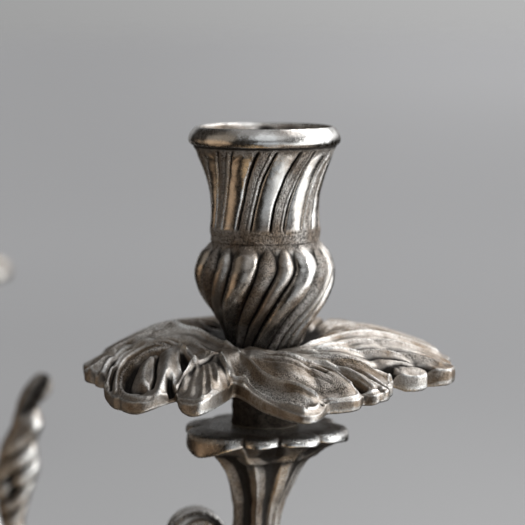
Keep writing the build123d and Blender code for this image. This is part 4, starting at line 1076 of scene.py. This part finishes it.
# painted shade: the floor is darker near the object, against the lamps' light there, and paler farther away
near = blend_colour(floor_tree, remap(floor_tree, mottle, 0.35, 0.65), (0.45, 0.45, 0.453, 1), (0.485, 0.485, 0.485, 1))
pale = blend_colour(floor_tree, remap(floor_tree, away, 0.7, 3.0), near, (0.635, 0.635, 0.635, 1))
eye = np.array([REACH, 0, 0]) * 0.001 + TOWARDS * 0.56
from_eye = add(floor_tree, "ShaderNodeVectorMath", {0: floor_place, 1: tuple(eye)}, operation="SUBTRACT").outputs[0]
sideways, depth = (add(floor_tree, "ShaderNodeVectorMath", {0: from_eye, 1: tuple(way)},
                       operation="DOT_PRODUCT").outputs["Value"] for way in (RIGHT, -TOWARDS))
# painted light: the floor is lightened in a wedge to the right of the view and farther off
across = remap(floor_tree, calc(floor_tree, "DIVIDE", sideways, calc(floor_tree, "MAXIMUM", depth, 0.3)), -0.10, 0.13)
painted_light = calc(floor_tree, "MULTIPLY", across, remap(floor_tree, away, 0.3, 12.0, 0.11, 0.62))
painted_light = calc(floor_tree, "MULTIPLY", painted_light, remap(floor_tree, depth, 0.6, 1.6))
lit_floor = blend_colour(floor_tree, painted_light, pale, (0.95, 0.95, 0.95, 1))
floor_tree.links.new(lit_floor, floor_shader.inputs["Base Color"])
floor_shader.inputs["Roughness"].default_value = 0.9
floor_shader.inputs["Specular IOR Level"].default_value = 0.1
# the metal mirrors the room through the floor, so the floor shows only to other rays
mirror_ray = add(floor_tree, "ShaderNodeLightPath").outputs["Is Glossy Ray"]
unseen = add(floor_tree, "ShaderNodeBsdfTransparent")
either = add(floor_tree, "ShaderNodeMixShader", {0: mirror_ray})
floor_tree.links.new(floor_shader.outputs[0], either.inputs[1])
floor_tree.links.new(unseen.outputs[0], either.inputs[2])
floor_tree.links.new(either.outputs[0], floor_tree.nodes["Material Output"].inputs["Surface"])
floor_mesh.materials.append(floor_look)


def direction(right_of_camera, up):
    """World direction at an azimuth from the camera's side of the object, plus to the right."""
    a, e = math.radians(right_of_camera), math.radians(up)
    flat = TOWARDS * math.cos(a) + RIGHT * math.sin(a)
    return np.array([flat[0] * math.cos(e), flat[1] * math.cos(e), math.sin(e)])


world = bpy.data.worlds.new("studio")
bpy.context.scene.world = world
world.use_nodes = True
sky = world.node_tree
background = sky.nodes["Background"]
way = add(sky, "ShaderNodeTexCoord").outputs["Generated"]
paths = add(sky, "ShaderNodeLightPath").outputs
# what the metal mirrors: a dim warm room with a few soft openings
ROOM = [  # azimuth, elevation, inner and outer half angles, colour, strength
    (80, -8, 15, 38, (0.93, 0.97, 1.0), 2.5),
    (58, -40, 12, 36, (0.95, 0.98, 1.0), 1.3),
    (112, 38, 14, 48, (0.97, 0.98, 1.0), 2.1),
    (14, -16, 8, 34, (0.86, 0.93, 1.0), 0.62),
    (10, 44, 8, 36, (0.90, 0.95, 1.0), 0.85),
    (-84, -14, 4, 32, (1.0, 0.72, 0.48), 0.55),
    (-8, -62, 5, 24, (1.0, 0.72, 0.42), 0.75),
    (36, -70, 5, 20, (1.0, 0.76, 0.50), 0.6),
    (-74, 30, 8, 36, (1.0, 0.88, 0.74), 0.27),
    (0, 90, 10, 42, (0.97, 0.98, 1.0), 0.34),
    (180, 14, 14, 40, (0.97, 0.98, 1.0), 0.32),
]
mirrored = (0.018, 0.015, 0.012, 1)
total = add(sky, "ShaderNodeRGB")
total.outputs[0].default_value = mirrored
light_sum = total.outputs[0]
for azimuth, up, inner, outer, tint, strength in ROOM:
    aim = direction(azimuth, up)
    facing_it = add(sky, "ShaderNodeVectorMath", {0: way, 1: tuple(aim)}, operation="DOT_PRODUCT").outputs["Value"]
    share = remap(sky, facing_it, math.cos(math.radians(outer)), math.cos(math.radians(inner)))
    lit = add(sky, "ShaderNodeVectorMath", {0: tuple(c * strength for c in tint), "Scale": share},
              operation="SCALE").outputs["Vector"]
    light_sum = add(sky, "ShaderNodeVectorMath", {0: light_sum, 1: lit}, operation="ADD").outputs["Vector"]
rightward = add(sky, "ShaderNodeVectorMath", {0: way, 1: tuple(direction(70, 55))}, operation="DOT_PRODUCT")
backdrop = blend_colour(sky, remap(sky, rightward.outputs["Value"], -0.29, -0.10), (0.345, 0.345, 0.345, 1),
                        (0.47, 0.47, 0.47, 1))
seen_plain = blend_colour(sky, paths["Is Camera Ray"], (0.52, 0.52, 0.53, 1), backdrop)
room = blend_colour(sky, paths["Is Glossy Ray"], seen_plain, light_sum)
sky.links.new(room, background.inputs["Color"])


def area_light(name, azimuth, up, distance, size, power, colour):
    lamp = bpy.data.lights.new(name, "AREA")
    lamp.energy, lamp.size, lamp.color = power, size, colour
    lamp.use_shadow = True
    placed = bpy.data.objects.new(name, lamp)
    target = Vector((REACH * 0.0005, 0, 0.24))
    placed.location = target + Vector(direction(azimuth, up)) * distance
    placed.rotation_euler = (target - placed.location).to_track_quat("-Z", "Y").to_euler()
    bpy.context.scene.collection.objects.link(placed)
    return placed


area_light("window", 72, 22, 1.5, 0.5, 9, (0.95, 0.98, 1.0))
area_light("overhead", 120, 55, 1.6, 0.5, 7, (1.0, 0.99, 0.97))

camera_data = bpy.data.cameras.new("camera")
camera = bpy.data.objects.new("camera", camera_data)
bpy.context.scene.collection.objects.link(camera)
CAMERA_AWAY, CAMERA_OVER_SEAT, LOOK_DOWN = 560.0, 104.0, 6.4
axis = np.array([REACH, 0, SEAT]) - RIGHT * 0.62
spot = axis + TOWARDS * CAMERA_AWAY + np.array([0, 0, CAMERA_OVER_SEAT])
aim = -TOWARDS * math.cos(math.radians(LOOK_DOWN)) + np.array([0, 0, -math.sin(math.radians(LOOK_DOWN))])
camera.location = Vector(spot * 0.001)
camera.rotation_euler = Vector(aim).to_track_quat("-Z", "Y").to_euler()
camera_data.sensor_width = 36.0
camera_data.lens = 153.6
camera_data.clip_start = 0.02
camera_data.dof.use_dof = True
focus = bpy.data.objects.new("focus_point", None)
focus.location = Vector((np.array([REACH, 0, SEAT + 30]) + TOWARDS * 35) * 0.001)
bpy.context.scene.collection.objects.link(focus)
camera_data.dof.focus_object = focus
camera_data.dof.aperture_fstop = 16.0
bpy.context.scene.camera = camera
bpy.context.scene.view_settings.view_transform = "Standard"
